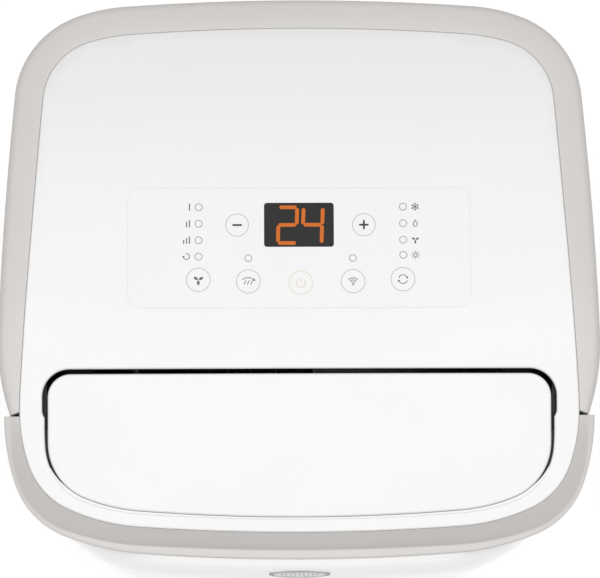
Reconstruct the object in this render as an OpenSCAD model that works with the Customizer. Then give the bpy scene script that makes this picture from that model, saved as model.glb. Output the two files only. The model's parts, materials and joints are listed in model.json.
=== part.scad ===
// Portable air conditioner on castors. The front faces -Y, the floor is z = 0.

/* [Body] */
// Greatest width, across the rear trim band
body_w = 420; // [418:1:424]
// Greatest depth, from the front shoulder to the rear trim band
body_d = 410; // [408:1:414]
// Height of the roof ridge above the floor
body_h = 720; // [716:1:740]
// Wall thickness of the outer mouldings
wall = 3; // [2.5:0.1:3.2]
// How far the side panels sit inside the trim bands
band_proud = 4; // [3.5:0.5:5]

/* [Roof] */
// Slope of the roof, down to the rear and down to the front, in degrees
roof_slope = 5; // [4.5:0.1:5.5]
// Distance of the ridge in front of the body's centre
ridge_y = -44; // [-46:1:-42]
// Radius that rounds the ridge
ridge_r = 250; // [200:10:260]

/* [Flap] */
// Half width of the flap
flap_half_w = 175; // [170:1:175]
// Number of vanes in the outlet
vane_count = 5; // [3:1:5]

/* [Fans] */
// Radius of the fan wheel in the room-air circuit
upper_wheel_r = 88; // [80:1:90]
// Radius of the fan wheel in the exhaust circuit
lower_wheel_r = 72; // [65:1:74]
// Blades on each fan wheel
blade_count = 28; // [12:1:36]

/* [Castors] */
// Wheel radius
castor_r = 24; // [22:0.5:24]
// Wheel width
castor_w = 18; // [14:1:20]
// Distance of the axle behind the swivel axis
castor_trail = 16; // [12:1:18]

/* [Exhaust] */
// Inner radius of the exhaust collar
collar_r = 66; // [60:1:66]

/* [Hidden] */
$fn = 96;
eps = 0.01;
fit_gap = 0.3;
bearing_gap = 0.05;

half_w = body_w / 2;
half_d = body_d / 2;

// Plan of the front panel, measured forward along -Y:
// [half width, y of the widest place, side radius, end y, end radius, corner radius]
PANEL_PLAN = [half_w - 10, 91.5, 900, half_d, 1500, 110];

// Plans of five arcs, front ones measured forward along -Y. Angles run from the end's middle to the side:
// [half width, y of the widest place, end y, end angle, two corner arcs as radius and angle,
//  side angle, radius at the widest place]
REAR_PLAN = [half_w, -41, half_d, 4.2, 119, 21.8, 66, 85, 88.5, 150];
FRONT_PLAN = [half_w - 4.5, 94.4, 190.2, 4.2, 193, 21.1, 57.8, 72.5, 90, 0];
// Top cover, rear and front
COVER_REAR = [half_w - 15.4, -88, half_d - 21.3, 4.2, 142, 16.1, 46.4, 85.4, 86.6, 300];
COVER_FRONT = [half_w - 15.4, 88, 172.3, 4.1, 142, 24.5, 51.5, 70.3, 90, 0];
// The flap's front and the cover's opening round it
FLAP_FRONT = [flap_half_w, 106.5, 161.8, 4.6, 127, 22.1, 41.2, 88.3, 90, 0];
OPENING_FRONT = [flap_half_w + 2.1, 100.7, 162.7, 4.1, 147, 19.4, 43, 85.7, 90, 0];
flap_rear_y = -62.4;
flap_corner_r = 16;
opening_rear_y = -59.1;
opening_half_w = flap_half_w + 3.8;
opening_corner_r = 19;

split_y = -91.5;
rear_neck_r = 150;
front_neck_r = 70;
front_neck_y = -FRONT_PLAN[1];

base_z = 58;
base_h = 42;
skin_z = base_z + base_h + 1;
side_top_z = 675.7;
panel_top_z = 676;
shoulder_h = 40;
shoulder_back = 14;
band_bottom_z = 676;
lip_z = 686;
lip_rear_z = 710;
partition_z = 360;

flap_pivot_y = -92;
flap_pivot_z = 694;
flap_pin_r = 3;
flap_ear_x = 172;
flap_rim = 7;

funnel_z = 642;
neck_z = 648;
neck_top_z = 704;
neck_half_w = 166;
neck_front_y = -147;
neck_step_y = -104;
neck_rear_y = -48.5;
duct_wall = 2.5;

vane_z = 653;
vane_h = 23;
vane_chord = 50;
vane_y = -105;
vane_pin_r = 2;
vane_arm = 18;
vane_pitch = 60;

castor_x = 152;
castor_front_y = -118;
castor_rear_y = 138;
castor_stem_r = 4;
castor_axle_r = 3;

upper_axis = [0, 515];
upper_scroll_y = [-105, -20];
lower_axis = [90, 198];
lower_scroll_y = [40, 110];

grab_y = 20;
grab_z = 540;
grab_l = 103;
grab_h = 43;
grab_depth = 35;

rear_half_w = 149.7;
collar_x = -72;
collar_z = 290;
drain_at = [-100, 382];
drain_r = 7;
panel_split_z = 369;
hook_gap = 70;
screw_x = 143;
SCREW_Z = [110, 240, 350, 380, 520, 656];
rear_face_y = half_d - 20;
filter_half_w = 136;
filter_hinge_y = rear_face_y + 3.4;
filter_hinge_z = 405;
filter_pin_r = 1.8;

compressor_at = [-75, -80];
compressor_r = 56;
FEET_AT = [30, 150, 270];

white = [0.95, 0.95, 0.94];
taupe = [0.83, 0.81, 0.79];
black = [0.05, 0.05, 0.05];
grey = [0.45, 0.46, 0.47];
steel = [0.62, 0.63, 0.65];
copper = [0.72, 0.43, 0.30];

VANES = [for (i = [1:vane_count]) str("vane_", i)];
CASTORS = ["front_left", "front_right", "rear_left", "rear_right"];
CASTOR_AT = [
    [-castor_x, castor_front_y],
    [castor_x, castor_front_y],
    [-castor_x, castor_rear_y],
    [castor_x, castor_rear_y]
];

// ---------- plan outlines ----------

// Points of an arc about c from angle a to b
function arc(c, r, a, b, n) =
    [for (i = [0:n]) c + r * [cos(a + (b - a) * i / n), sin(a + (b - a) * i / n)]];

// Direction of a vector, in degrees
function bearing(v) = atan2(v.y, v.x);

// Where two circles meet, on the side away from the body's centre line
function circles_meet(c1, r1, c2, r2) =
    let (d = norm(c2 - c1),
         a = (r1 * r1 - r2 * r2 + d * d) / (2 * d),
         h = sqrt(r1 * r1 - a * a),
         u = (c2 - c1) / d)
    c1 + a * u + h * [u.y, -u.x];

// A quarter plan: side arc, corner arc and end arc, each touching the next, shrunk by inset
function quarter(p, inset = 0) =
    let (side = [p[0] - p[2], p[1]],
         end = [0, p[3] - p[4]],
         corner = circles_meet(end, p[4] - p[5], side, p[2] - p[5]),
         a1 = bearing(corner - side),
         a2 = bearing(corner - end))
    concat(
        arc(side, p[2] - inset, 0, a1, 6),
        arc(corner, p[5] - inset, a1, a2, 12),
        arc(end, p[4] - inset, a2, 90, 5)
    );

// Radii of a five-arc plan's end and side arcs, from its half width and length
function free_radii(p) =
    let (a = [p[3], p[5], p[7], p[8]],
         s = [for (t = a) sin(t)],
         c = [for (t = a) cos(t)],
         w = p[0] - p[4] * (s[1] - s[0]) - p[6] * (s[2] - s[1]) - p[9] * (1 - s[3]),
         l = p[2] - p[1] - p[4] * (c[0] - c[1]) - p[6] * (c[1] - c[2]) - p[9] * c[3],
         m = [[s[0], s[3] - s[2]], [1 - c[0], c[2] - c[3]]],
         det = m[0][0] * m[1][1] - m[0][1] * m[1][0])
    [(w * m[1][1] - l * m[0][1]) / det, (l * m[0][0] - w * m[1][0]) / det];

// A five-arc quarter plan from the side to the end's middle, each arc touching the next, shrunk by inset
function soft_quarter(p, inset = 0) =
    let (free = free_radii(p),
         r = [free[0], p[4], p[6], free[1], p[9]],
         a = [0, p[3], p[5], p[7], p[8], 90],
         u = [for (t = a) [sin(t), cos(t)]],
         c1 = [0, p[2] - r[0]],
         c2 = c1 + (r[0] - r[1]) * u[1],
         c3 = c2 + (r[1] - r[2]) * u[2],
         c4 = c3 + (r[2] - r[3]) * u[3],
         c5 = c4 + (r[3] - r[4]) * u[4])
    concat(
        p[8] < 90 ? arc(c5, r[4] - inset, 0, 90 - a[4], 2) : [],
        arc(c4, r[3] - inset, 90 - a[4], 90 - a[3], 4),
        arc(c3, r[2] - inset, 90 - a[3], 90 - a[2], 8),
        arc(c2, r[1] - inset, 90 - a[2], 90 - a[1], 4),
        arc(c1, r[0] - inset, 90 - a[1], 90, 5)
    );

function flip_x(pts) = [for (i = [len(pts) - 1:-1:0]) [-pts[i].x, pts[i].y]];
function flip_y(pts) = [for (i = [len(pts) - 1:-1:0]) [pts[i].x, -pts[i].y]];

// Right-hand edge of the rear body, where it draws in towards the split
function rear_neck(inset) =
    let (c = [REAR_PLAN[0] - rear_neck_r, REAR_PLAN[1]],
         r = rear_neck_r - inset)
    arc(c, r, asin((split_y - c.y) / r), -1, 6);

// Right-hand edge of the front body, behind its widest place
function front_neck(inset) =
    let (c = [FRONT_PLAN[0] - front_neck_r, front_neck_y],
         r = front_neck_r - inset)
    arc(c, r, 1, asin((split_y - c.y) / r), 3);

module closed(half) {
    polygon(concat(half, flip_x(half)));
}

module rear_plan(inset = 0) {
    closed(concat(rear_neck(inset), soft_quarter(REAR_PLAN, inset)));
}

module front_plan(inset = 0) {
    closed(concat(flip_y(soft_quarter(FRONT_PLAN, inset)), front_neck(inset)));
}

module panel_plan(inset = 0) {
    closed(flip_y(quarter(PANEL_PLAN, inset)));
}

module cover_plan(inset = 0) {
    closed(concat(flip_y(soft_quarter(COVER_FRONT, inset)), soft_quarter(COVER_REAR, inset)));
}

// A tongue with a round-cornered rear edge and a front from a quarter plan
module tongue_plan(front, half, rear, corner, inset = 0) {
    closed(concat(
        flip_y(soft_quarter(front, inset)),
        arc([half - corner, rear - corner], corner - inset, 0, 90, 8)
    ));
}

module flap_plan(inset = 0) {
    tongue_plan(FLAP_FRONT, flap_half_w, flap_rear_y, flap_corner_r, inset);
}

module opening_plan(inset = 0) {
    tongue_plan(OPENING_FRONT, opening_half_w, opening_rear_y, opening_corner_r, inset);
}

// ---------- roof ----------

// Height of the roof's two planes at y, without the rounded ridge
function roof_plane(y) = body_h - abs(y - ridge_y) * tan(roof_slope);

// Side view of the space under the roof, from z_low up to depth under the surface
module under_roof(z_low, depth = 0, reach = 300) {
    drop = ridge_r * (1 / cos(roof_slope) - 1);
    c = [ridge_y, body_h + drop - ridge_r / cos(roof_slope)];
    outline = concat(
        [[-reach, z_low], [reach, z_low], [reach, roof_plane(reach) + drop - depth]],
        [for (p = arc(c, ridge_r, 90 - roof_slope, 90 + roof_slope, 8)) p - [0, depth]],
        [[-reach, roof_plane(-reach) + drop - depth]]
    );
    rotate([90, 0, 90])
        linear_extrude(2 * reach, center = true)
            polygon(outline);
}

// Children placed on the rear roof plane: x across, y up the slope from the ridge, z out of it
module on_rear_roof() {
    drop = ridge_r * (1 / cos(roof_slope) - 1);
    translate([0, ridge_y, body_h + drop])
        rotate([-roof_slope, 0, 0])
            children();
}

module prism(z0, z1) {
    translate([0, 0, z0])
        for (i = [0:$children - 1])
            linear_extrude(z1 - z0)
                children(i);
}

// A box from its lowest corner to its highest
module box(low, high) {
    translate(low)
        cube(high - low);
}

module round_box(size, r) {
    linear_extrude(size.z)
        for (s = [0:1])
            square([size.x - 2 * r * s, size.y - 2 * r * (1 - s)], center = true);
    for (x = [-1, 1], y = [-1, 1])
        translate([x * (size.x / 2 - r), y * (size.y / 2 - r), 0])
            cylinder(h = size.z, r = r, $fn = 48);
}

// A cylinder along +Y from y0 to y1 at x, z
module rod_y(x, z, r, y0, y1) {
    translate([x, y0, z])
        rotate([-90, 0, 0])
            cylinder(h = y1 - y0, r = r);
}

module rod_x(y, z, r, x0, x1) {
    translate([x0, y, z])
        rotate([0, 90, 0])
            cylinder(h = x1 - x0, r = r);
}

// ---------- outer mouldings ----------

module base_pan() {
    color(taupe)
        difference() {
            union() {
                difference() {
                    prism(base_z, base_z + base_h) {
                        rear_plan(6);
                        panel_plan(2);
                    }
                    prism(base_z + wall, base_z + base_h + 1) {
                        rear_plan(6 + wall);
                        panel_plan(2 + wall);
                    }
                }
                for (p = CASTOR_AT)
                    translate([p.x, p.y, base_z])
                        cylinder(h = 28, r = 10);
                rod_y(120, 74, 10, rear_face_y - 20, half_d - 3);
            }
            for (p = CASTOR_AT)
                translate([p.x, p.y, base_z - 1])
                    cylinder(h = 30, r = castor_stem_r + bearing_gap);
            rod_y(120, 74, 6, rear_face_y - 21, half_d);
        }
}

// A solid of revolution whose edge is the panel's front arc, drawn in over the shoulder
module shoulder_form(inset = 0) {
    r = PANEL_PLAN[4] - inset;
    translate([0, PANEL_PLAN[4] - PANEL_PLAN[3], 0])
        rotate_extrude($fn = 720)
            polygon(concat(
                [[r - 300, 0], [r, 0]],
                [for (a = [0:10:90]) [r - shoulder_back * (1 - cos(a)), panel_top_z - shoulder_h * (1 - sin(a))]],
                [[r - shoulder_back, body_h], [r - 300, body_h]]
            ));
}

module front_panel() {
    color(white)
        difference() {
            intersection() {
                prism(skin_z, panel_top_z)
                    panel_plan();
                shoulder_form();
            }
            intersection() {
                prism(skin_z - 1, panel_top_z + 1)
                    panel_plan(wall);
                shoulder_form(wall);
            }
        }
}

// Right-hand side panel, with the grab recess moulded into it
module side_panel() {
    color(white)
        difference() {
            union() {
                difference() {
                    prism(skin_z, side_top_z)
                        rear_plan(band_proud);
                    prism(skin_z - 1, side_top_z + 1)
                        rear_plan(band_proud + wall);
                    box([-half_w, rear_face_y - 60, 0], [rear_half_w + fit_gap, half_d, body_h]);
                    box([-half_w, split_y - 1, 0], [0, half_d, body_h]);
                }
                intersection() {
                    box([rear_half_w + fit_gap, rear_face_y - wall, skin_z],
                        [rear_half_w + fit_gap + wall, half_d, side_top_z]);
                    prism(skin_z, side_top_z)
                        rear_plan(band_proud + 1);
                }
                intersection() {
                    box([half_w - grab_depth - 2.5, grab_y - grab_l / 2 - 2.5, grab_z - 2.5],
                        [half_w, grab_y + grab_l / 2 + 2.5, grab_z + grab_h + 2.5]);
                    prism(grab_z - 10, grab_z + grab_h + 10)
                        rear_plan(band_proud + 1);
                }
            }
            box([half_w - grab_depth, grab_y - grab_l / 2, grab_z],
                [half_w, grab_y + grab_l / 2, grab_z + grab_h]);
        }
}

module right_side_panel() {
    side_panel();
}

module left_side_panel() {
    mirror([1, 0, 0])
        side_panel();
}

// Slots in a rear panel, n of them, each slot_h high
module slots(x0, x1, z0, n, pitch, slot_h) {
    for (i = [0:n - 1])
        box([x0, rear_face_y - 20, z0 + i * pitch], [x1, half_d, z0 + i * pitch + slot_h]);
}

module rear_lower_panel() {
    color(taupe)
        difference() {
            union() {
                box([-rear_half_w, rear_face_y - wall, skin_z], [rear_half_w, rear_face_y, panel_split_z - 1]);
                for (s = [-1, 1])
                    translate([-147, rear_face_y, 240 + s * hook_gap]) {
                        box([-2.5, -1, -6], [2.5, 14, 6]);
                        box([-2.5, 10, 9 * s - 15], [2.5, 14, 9 * s + 15]);
                    }
            }
            rod_y(collar_x, collar_z, collar_r + 3, rear_face_y - 10, half_d);
            slots(12, 140, 128, 22, 9.5, 5);
            rod_y(-110, 130, 9, rear_face_y - 10, half_d);
            for (x = [-screw_x, screw_x], z = [for (i = [0:2]) SCREW_Z[i]])
                rod_y(x, z, 2, rear_face_y - 10, half_d);
        }
}

module rear_upper_frame() {
    color(taupe)
        difference() {
            union() {
                box([-rear_half_w, rear_face_y - wall, panel_split_z + 1], [rear_half_w, rear_face_y, side_top_z]);
                // knuckles for the filter door's pins
                for (x = [-140.5, filter_half_w + fit_gap])
                    translate([x, rear_face_y - 1, filter_hinge_z - 4])
                        cube([4.2, 7.2, 8]);
            }
            rod_x(filter_hinge_y, filter_hinge_z, filter_pin_r + bearing_gap, -half_w, half_w);
            box([-130, rear_face_y - 10, 412], [130, half_d, 640]);
            rod_y(drain_at.x, drain_at.y, drain_r + fit_gap, rear_face_y - 10, half_d);
            for (x = [-screw_x, screw_x], z = [for (i = [3:5]) SCREW_Z[i]])
                rod_y(x, z, 2, rear_face_y - 10, half_d);
        }
}

module top_cover() {
    color(white)
        difference() {
            intersection() {
                prism(band_bottom_z, body_h + 5)
                    cover_plan();
                under_roof(600);
            }
            intersection() {
                prism(600, body_h + 5)
                    cover_plan(wall);
                under_roof(500, wall);
            }
            prism(600, body_h + 10)
                opening_plan();
            on_rear_roof()
                translate([0, 70, -0.45])
                    round_box([239.4, 85.6, 5], 9.2);
            on_rear_roof()
                translate([0, 86.4, -10])
                    round_box([49.2, 32, 20], 1.7);
        }
}

module rear_trim_band() {
    color(taupe)
        difference() {
            intersection() {
                prism(band_bottom_z, body_h)
                    rear_plan();
                under_roof(600, 1.2);
            }
            prism(600, body_h + 10)
                cover_plan(-0.5);
            box([-half_w - 1, -half_d, 600], [half_w + 1, split_y + 1, body_h + 1]);
        }
}

// Plane of the front lip, rising from the front towards the split
module lip_plane(drop = 0) {
    rise = atan((lip_rear_z - lip_z) / (189.6 + split_y));
    translate([0, -189.6, lip_z - drop])
        rotate([rise, 0, 0])
            translate([-300, -100, -100])
                cube([600, 400, 100]);
}

module front_trim_band() {
    color(taupe)
        difference() {
            intersection() {
                union() {
                    intersection() {
                        prism(band_bottom_z + fit_gap, body_h)
                            front_plan();
                        lip_plane();
                    }
                    hull() {
                        prism(lip_z, lip_z + eps)
                            front_plan(7);
                        prism(body_h - 11, body_h - 11 + eps)
                            cover_plan(-1.5);
                    }
                }
                under_roof(600, 1.2);
            }
            prism(600, body_h + 10)
                cover_plan(-0.5);
            box([-half_w - 1, split_y, 600], [half_w + 1, half_d, body_h + 1]);
        }
}

module front_badge() {
    color(steel)
        translate([0, -half_d + 4.6, 664])
            rotate([62, 0, 0])
                intersection() {
                    translate([0, 0, 1.1])
                        cylinder(h = 1.2, r = 21.5);
                    translate([0, 29, 0])
                        cylinder(h = 4, r = 36);
                    translate([0, -29, 0])
                        cylinder(h = 4, r = 36);
                }
}

// ---------- controls ----------

module control_film() {
    color([0.93, 0.93, 0.92])
        on_rear_roof()
            difference() {
                translate([0, 70, -0.43])
                    round_box([238.8, 85, 0.4], 9);
                translate([0, 86.4, -1])
                    round_box([48.8, 31.5, 2], 1.5);
            }
}

module display_window() {
    color(black)
        on_rear_roof()
            translate([0, 86.4, -wall])
                round_box([48.6, 31.3, wall - 0.03], 1.4);
}

module display_module() {
    color([0.9, 0.4, 0.1])
        on_rear_roof()
            translate([0, 86.4, -10])
                round_box([46, 29, 6.8], 1);
}

module control_board() {
    color([0.1, 0.35, 0.2])
        on_rear_roof() {
            difference() {
                translate([0, 70, -11.7])
                    round_box([210, 78, 1.6], 2);
                for (x = [-98, 98], y = [36, 104])
                    translate([x, y, -20])
                        cylinder(h = 20, r = 1.6);
            }
            for (x = [-71.3, -36.5, 0, 36.5, 71.3])
                translate([x, 47, -10.1])
                    cylinder(h = 5.6, r = 7);
        }
}

// ---------- air outlet ----------

module air_flap() {
    color(white) {
        difference() {
            intersection() {
                prism(690, body_h + 5)
                    flap_plan();
                difference() {
                    under_roof(600);
                    under_roof(500, flap_rim);
                }
            }
            intersection() {
                prism(600, body_h + 5)
                    flap_plan(2.5);
                under_roof(500, wall);
            }
        }
        for (s = [-1, 1])
            difference() {
                intersection() {
                    union() {
                        rod_x(flap_pivot_y, flap_pivot_z, 8, s * flap_ear_x - 1.5, s * flap_ear_x + 1.5);
                        box([s * flap_ear_x - 1.5, flap_pivot_y - 8, flap_pivot_z],
                            [s * flap_ear_x + 1.5, flap_pivot_y + 8, body_h]);
                    }
                    under_roof(600, 1);
                }
                rod_x(flap_pivot_y, flap_pivot_z, flap_pin_r + bearing_gap, s * flap_ear_x - 5, s * flap_ear_x + 5);
            }
    }
}

module flap_motor() {
    color(steel) {
        rod_x(flap_pivot_y, flap_pivot_z, 11, 145, 163);
        rod_x(flap_pivot_y, flap_pivot_z, flap_pin_r, 163, flap_ear_x + 2);
    }
}

// A plan rectangle, centred on x = 0, from y0 to y1
module strip(half, y0, y1) {
    translate([-half, y0])
        square([2 * half, y1 - y0]);
}

// The neck's plan: as wide as the opening behind the pivot, narrower in front of it
module neck_plan(inset) {
    strip(opening_half_w - inset, neck_step_y + inset, neck_rear_y - inset);
    strip(neck_half_w - inset, neck_front_y + inset, neck_rear_y - inset);
}

module outlet_duct() {
    bar = 8;
    color(black) {
        difference() {
            union() {
                prism(neck_z, neck_top_z)
                    neck_plan(0);
                hull() {
                    prism(funnel_z, funnel_z + eps)
                        translate([-118, -108])
                            square([131, 91]);
                    prism(neck_z - eps, neck_z)
                        strip(neck_half_w, neck_front_y, neck_rear_y);
                }
            }
            prism(neck_z - eps, body_h)
                neck_plan(duct_wall);
            hull() {
                prism(funnel_z - 1, funnel_z)
                    translate([-115, -105])
                        square([125, 85]);
                prism(neck_z, neck_z + eps)
                    strip(neck_half_w - duct_wall, neck_front_y + duct_wall, neck_rear_y - duct_wall);
            }
        }
        difference() {
            box([-163.6, vane_y - bar / 2, 647], [163.6, vane_y + bar / 2, 652]);
            for (i = [1:vane_count])
                translate([vane_x(i), vane_y, 600])
                    cylinder(h = 100, r = vane_pin_r + bearing_gap);
        }
        // brackets for the flap's pin on the left and its motor on the right
        box([-165.5, -103, 649], [-163, -80, 704]);
        rod_x(flap_pivot_y, flap_pivot_z, flap_pin_r, -flap_ear_x - 2, -163);
        difference() {
            box([163, -103, 649], [165.5, -80, 704]);
            rod_x(flap_pivot_y, flap_pivot_z, 5, 150, 180);
        }
        // ledge under the flap's front half
        difference() {
            intersection() {
                prism(690, 710)
                    tongue_plan(OPENING_FRONT, opening_half_w, opening_rear_y, opening_corner_r, -5);
                difference() {
                    under_roof(600, 9);
                    under_roof(500, 11);
                }
            }
            prism(600, body_h)
                strip(neck_half_w - duct_wall, neck_front_y + duct_wall, 60);
            box([-half_w, -101, 600], [half_w, half_d, body_h]);
        }
    }
}

function vane_x(i) = (i - (vane_count + 1) / 2) * vane_pitch;

module vane(i) {
    color(black)
        translate([vane_x(i), vane_y, 0]) {
            translate([-0.9, -vane_chord / 2, vane_z])
                cube([1.8, vane_chord, vane_h]);
            translate([0, 0, 646])
                cylinder(h = vane_z - 646 + 1, r = vane_pin_r);
            translate([0, vane_arm, vane_z + vane_h - 1])
                cylinder(h = 5, r = 1.5);
        }
}

module vane_link() {
    x0 = vane_x(1) - 10;
    x1 = vane_x(vane_count) + 10;
    color(black)
        difference() {
            box([x0, vane_y + vane_arm - 6.5, vane_z + vane_h + 0.4],
                [x1, vane_y + vane_arm + 4.5, vane_z + vane_h + 2.4]);
            for (i = [1:vane_count]) {
                for (y = [0, -3.5])
                    translate([vane_x(i), vane_y + vane_arm + y, 600])
                        cylinder(h = 100, r = 2.1);
                box([vane_x(i) - 2.1, vane_y + vane_arm - 3.5, 600],
                    [vane_x(i) + 2.1, vane_y + vane_arm, 700]);
            }
        }
}

// ---------- fans ----------

// Points of a volute from radius r0, growing by grow over one turn
function volute(r0, grow, n) =
    [for (i = [0:n]) (r0 + grow * i / n) * [cos(90 - 360 * i / n), sin(90 - 360 * i / n)]];

// Forward-curved wheel about the Y axis at x, z, with its back plate at y0
module fan_wheel(axis, r, y0, y1, shaft_y0) {
    depth = y1 - y0;
    translate([axis.x, y0, axis.y])
        rotate([-90, 0, 0])
            difference() {
                union() {
                    cylinder(h = 2.5, r = r);
                    cylinder(h = 26, r = 13);
                    translate([0, 0, depth - 4])
                        difference() {
                            cylinder(h = 4, r = r);
                            translate([0, 0, -1])
                                cylinder(h = 6, r = r - 14);
                        }
                    for (i = [0:blade_count - 1])
                        rotate([0, 0, i * 360 / blade_count])
                            translate([r - 7, 0, 1])
                                rotate([0, 0, 28])
                                    translate([-6.5, -0.8, 0])
                                        cube([13, 1.6, depth - 2]);
                }
                translate([0, 0, -1])
                    cylinder(h = 30, r = 4);
            }
    rod_y(axis.x, axis.y, 4, shaft_y0, y0 + 27);
}

// Children's outlines in the XZ plane about the fan axis, drawn out from y0 to y1
module fan_prism(axis, y0, y1) {
    translate([axis.x, y1, axis.y])
        rotate([90, 0, 0])
            for (i = [0:$children - 1])
                linear_extrude(y1 - y0)
                    children(i);
}

// Volute casing about the Y axis, whose spout is drawn by two children, its outside and its inside
module scroll(axis, r0, grow, ys, inlet_r, motor_r) {
    w = 2.5;
    difference() {
        fan_prism(axis, ys[0], ys[1]) {
            polygon(volute(r0 + w, grow, 48));
            children(0);
        }
        fan_prism(axis, ys[0] + w, ys[1] - w) {
            polygon(volute(r0, grow, 48));
            children(1);
        }
        rod_y(axis.x, axis.y, inlet_r, ys[1] - 5, ys[1] + 5);
        rod_y(axis.x, axis.y, motor_r, ys[0] - 5, ys[0] + 5);
    }
}

module upper_fan_wheel() {
    color(grey)
        fan_wheel(upper_axis, upper_wheel_r, upper_scroll_y[0] + 8, upper_scroll_y[1] - 8, -140);
}

module upper_fan_scroll() {
    spout = 641.5 - upper_axis.y;
    color([0.85, 0.86, 0.87])
        scroll(upper_axis, upper_wheel_r + 10, 24, upper_scroll_y, 68, 9) {
            translate([-117.5, 0])
                square([130, spout]);
            translate([-115, 0])
                square([125, spout + 5]);
        }
}

module upper_fan_motor() {
    color(steel)
        difference() {
            union() {
                rod_y(upper_axis.x, upper_axis.y, 45, -160, upper_scroll_y[0] - 8);
                rod_y(upper_axis.x, upper_axis.y, 24, upper_scroll_y[0] - 8, upper_scroll_y[0]);
            }
            rod_y(upper_axis.x, upper_axis.y, 4 + bearing_gap, -142, 0);
        }
}

module lower_fan_wheel() {
    color(grey)
        fan_wheel(lower_axis, lower_wheel_r, lower_scroll_y[0] + 8, lower_scroll_y[1] - 8, 5);
}

module lower_fan_scroll() {
    top = 96;
    color([0.85, 0.86, 0.87])
        scroll(lower_axis, lower_wheel_r + 7, 16, lower_scroll_y, 58, 9) {
            translate([-95, top - 62])
                square([95, 62]);
            translate([-100, top - 59.5])
                square([100, 57]);
        }
}

module lower_fan_motor() {
    color(steel)
        difference() {
            union() {
                rod_y(lower_axis.x, lower_axis.y, 40, -14, lower_scroll_y[0] - 6);
                rod_y(lower_axis.x, lower_axis.y, 22, lower_scroll_y[0] - 6, lower_scroll_y[0]);
            }
            rod_y(lower_axis.x, lower_axis.y, 4 + bearing_gap, 3, 60);
        }
}

module exhaust_duct() {
    w = 2.5;
    low = [-140.5, 38, 220];
    high = [-5, rear_face_y - wall - fit_gap, 358];
    color([0.85, 0.86, 0.87])
        difference() {
            box(low, high);
            box(low + [w, w, w], high - [w, w, w]);
            box([-10, 42.5, 234.5], [10, 107.5, 291.5]);
            rod_y(collar_x, collar_z, collar_r, 150, half_d);
        }
}

module exhaust_collar() {
    color(grey)
        difference() {
            union() {
                rod_y(collar_x, collar_z, collar_r + 2.7, rear_face_y - wall, half_d - 2);
                rod_y(collar_x, collar_z, collar_r + 7, rear_face_y, rear_face_y + 2.5);
            }
            rod_y(collar_x, collar_z, collar_r, rear_face_y - 10, half_d + 10);
        }
}

// ---------- refrigeration ----------

// A finned block with tube bends at its two end plates
module coil(low, high, bends) {
    pitch = 6;
    n = floor((high.x - low.x - 8) / pitch);
    for (x = [low.x, high.x - 1.5])
        box([x, low.y, low.z], [x + 1.5, high.y, high.z]);
    for (i = [0:n])
        box([low.x + 4 + i * pitch, low.y + 1, low.z + 1], [low.x + 5 + i * pitch, high.y - 1, high.z - 1]);
    for (k = [0:bends - 1])
        rod_x((low.y + high.y) / 2, low.z + (k + 0.5) * (high.z - low.z) / bends, 4, low.x - 3, high.x + 3);
}

module evaporator_coil() {
    color([0.75, 0.77, 0.80])
        coil([-140, 112, 372], [140, 156, 636], 8);
}

module condenser_coil() {
    color([0.75, 0.77, 0.80])
        coil([8, 122, 92], [150, 170, 336], 8);
}

module compressor() {
    c = compressor_at;
    color([0.08, 0.08, 0.09]) {
        translate([c.x, c.y, 84])
            cylinder(h = 196, r = compressor_r);
        translate([c.x, c.y, 280 - 60])
            intersection() {
                cylinder(h = 100, r = compressor_r);
                translate([0, 0, 20])
                    sphere(r = 70);
            }
        difference() {
            translate([c.x, c.y, 80])
                union() {
                    cylinder(h = 4, r = 50);
                    for (a = FEET_AT)
                        rotate([0, 0, a])
                            translate([0, -14, 0])
                                cube([80, 28, 4]);
                }
            for (a = FEET_AT)
                translate([c.x + 68 * cos(a), c.y + 68 * sin(a), 70])
                    cylinder(h = 30, r = 5);
        }
    }
}

module compressor_feet() {
    color(black)
        for (a = FEET_AT)
            translate([compressor_at.x + 68 * cos(a), compressor_at.y + 68 * sin(a), base_z + wall])
                difference() {
                    union() {
                        cylinder(h = 80 - base_z - wall, r = 11);
                        cylinder(h = 86 - base_z - wall, r = 5);
                    }
                    translate([0, 0, -1])
                        cylinder(h = 60, r = 3);
                }
}

module accumulator() {
    color([0.08, 0.08, 0.09])
        translate([12, -80, 110]) {
            cylinder(h = 130, r = 22);
            translate([0, 0, 130])
                cylinder(h = 12, r = 9);
        }
}

// A pipe through the given points, each stretch along an axis
module pipe(points, r) {
    for (i = [0:len(points) - 2]) {
        a = points[i];
        b = points[i + 1];
        d = b - a;
        translate(a)
            rotate([0, acos(d.z / norm(d)), atan2(d.y, d.x)])
                cylinder(h = norm(d), r = r, $fn = 32);
    }
    for (i = [1:len(points) - 2])
        translate(points[i])
            sphere(r = r, $fn = 32);
}

module reversing_valve() {
    color([0.75, 0.6, 0.3]) {
        translate([-115, -80, 340])
            rotate([0, 90, 0])
                cylinder(h = 80, r = 11);
        translate([-75, -80, 310.2])
            cylinder(h = 20, r = 5);
    }
}

module refrigerant_pipes() {
    r = 4.5;
    color(copper) {
        pipe([[-34.9, -80, 340], [184, -80, 340], [184, 146, 340], [184, 146, 306], [150.1, 146, 306]], r);
        pipe([[-115.1, -80, 340], [-182, -80, 340], [-182, -80, 421], [-182, 134, 421], [-143.1, 134, 421]], r);
        pipe([[12, -80, 252.1], [12, -80, 318], [-60, -80, 318], [-60, -80, 328.9]], r);
    }
}

module condensate_tray() {
    color([0.85, 0.86, 0.87])
        difference() {
            union() {
                difference() {
                    box([-156, 100, partition_z + 3.2], [156, 178, 392]);
                    box([-153.5, 102.5, partition_z + 6], [153.5, 175.5, 400]);
                }
                rod_y(drain_at.x, drain_at.y, drain_r, 176, rear_face_y + 9);
            }
            rod_y(drain_at.x, drain_at.y, drain_r - 2, 170, half_d);
        }
}

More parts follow.
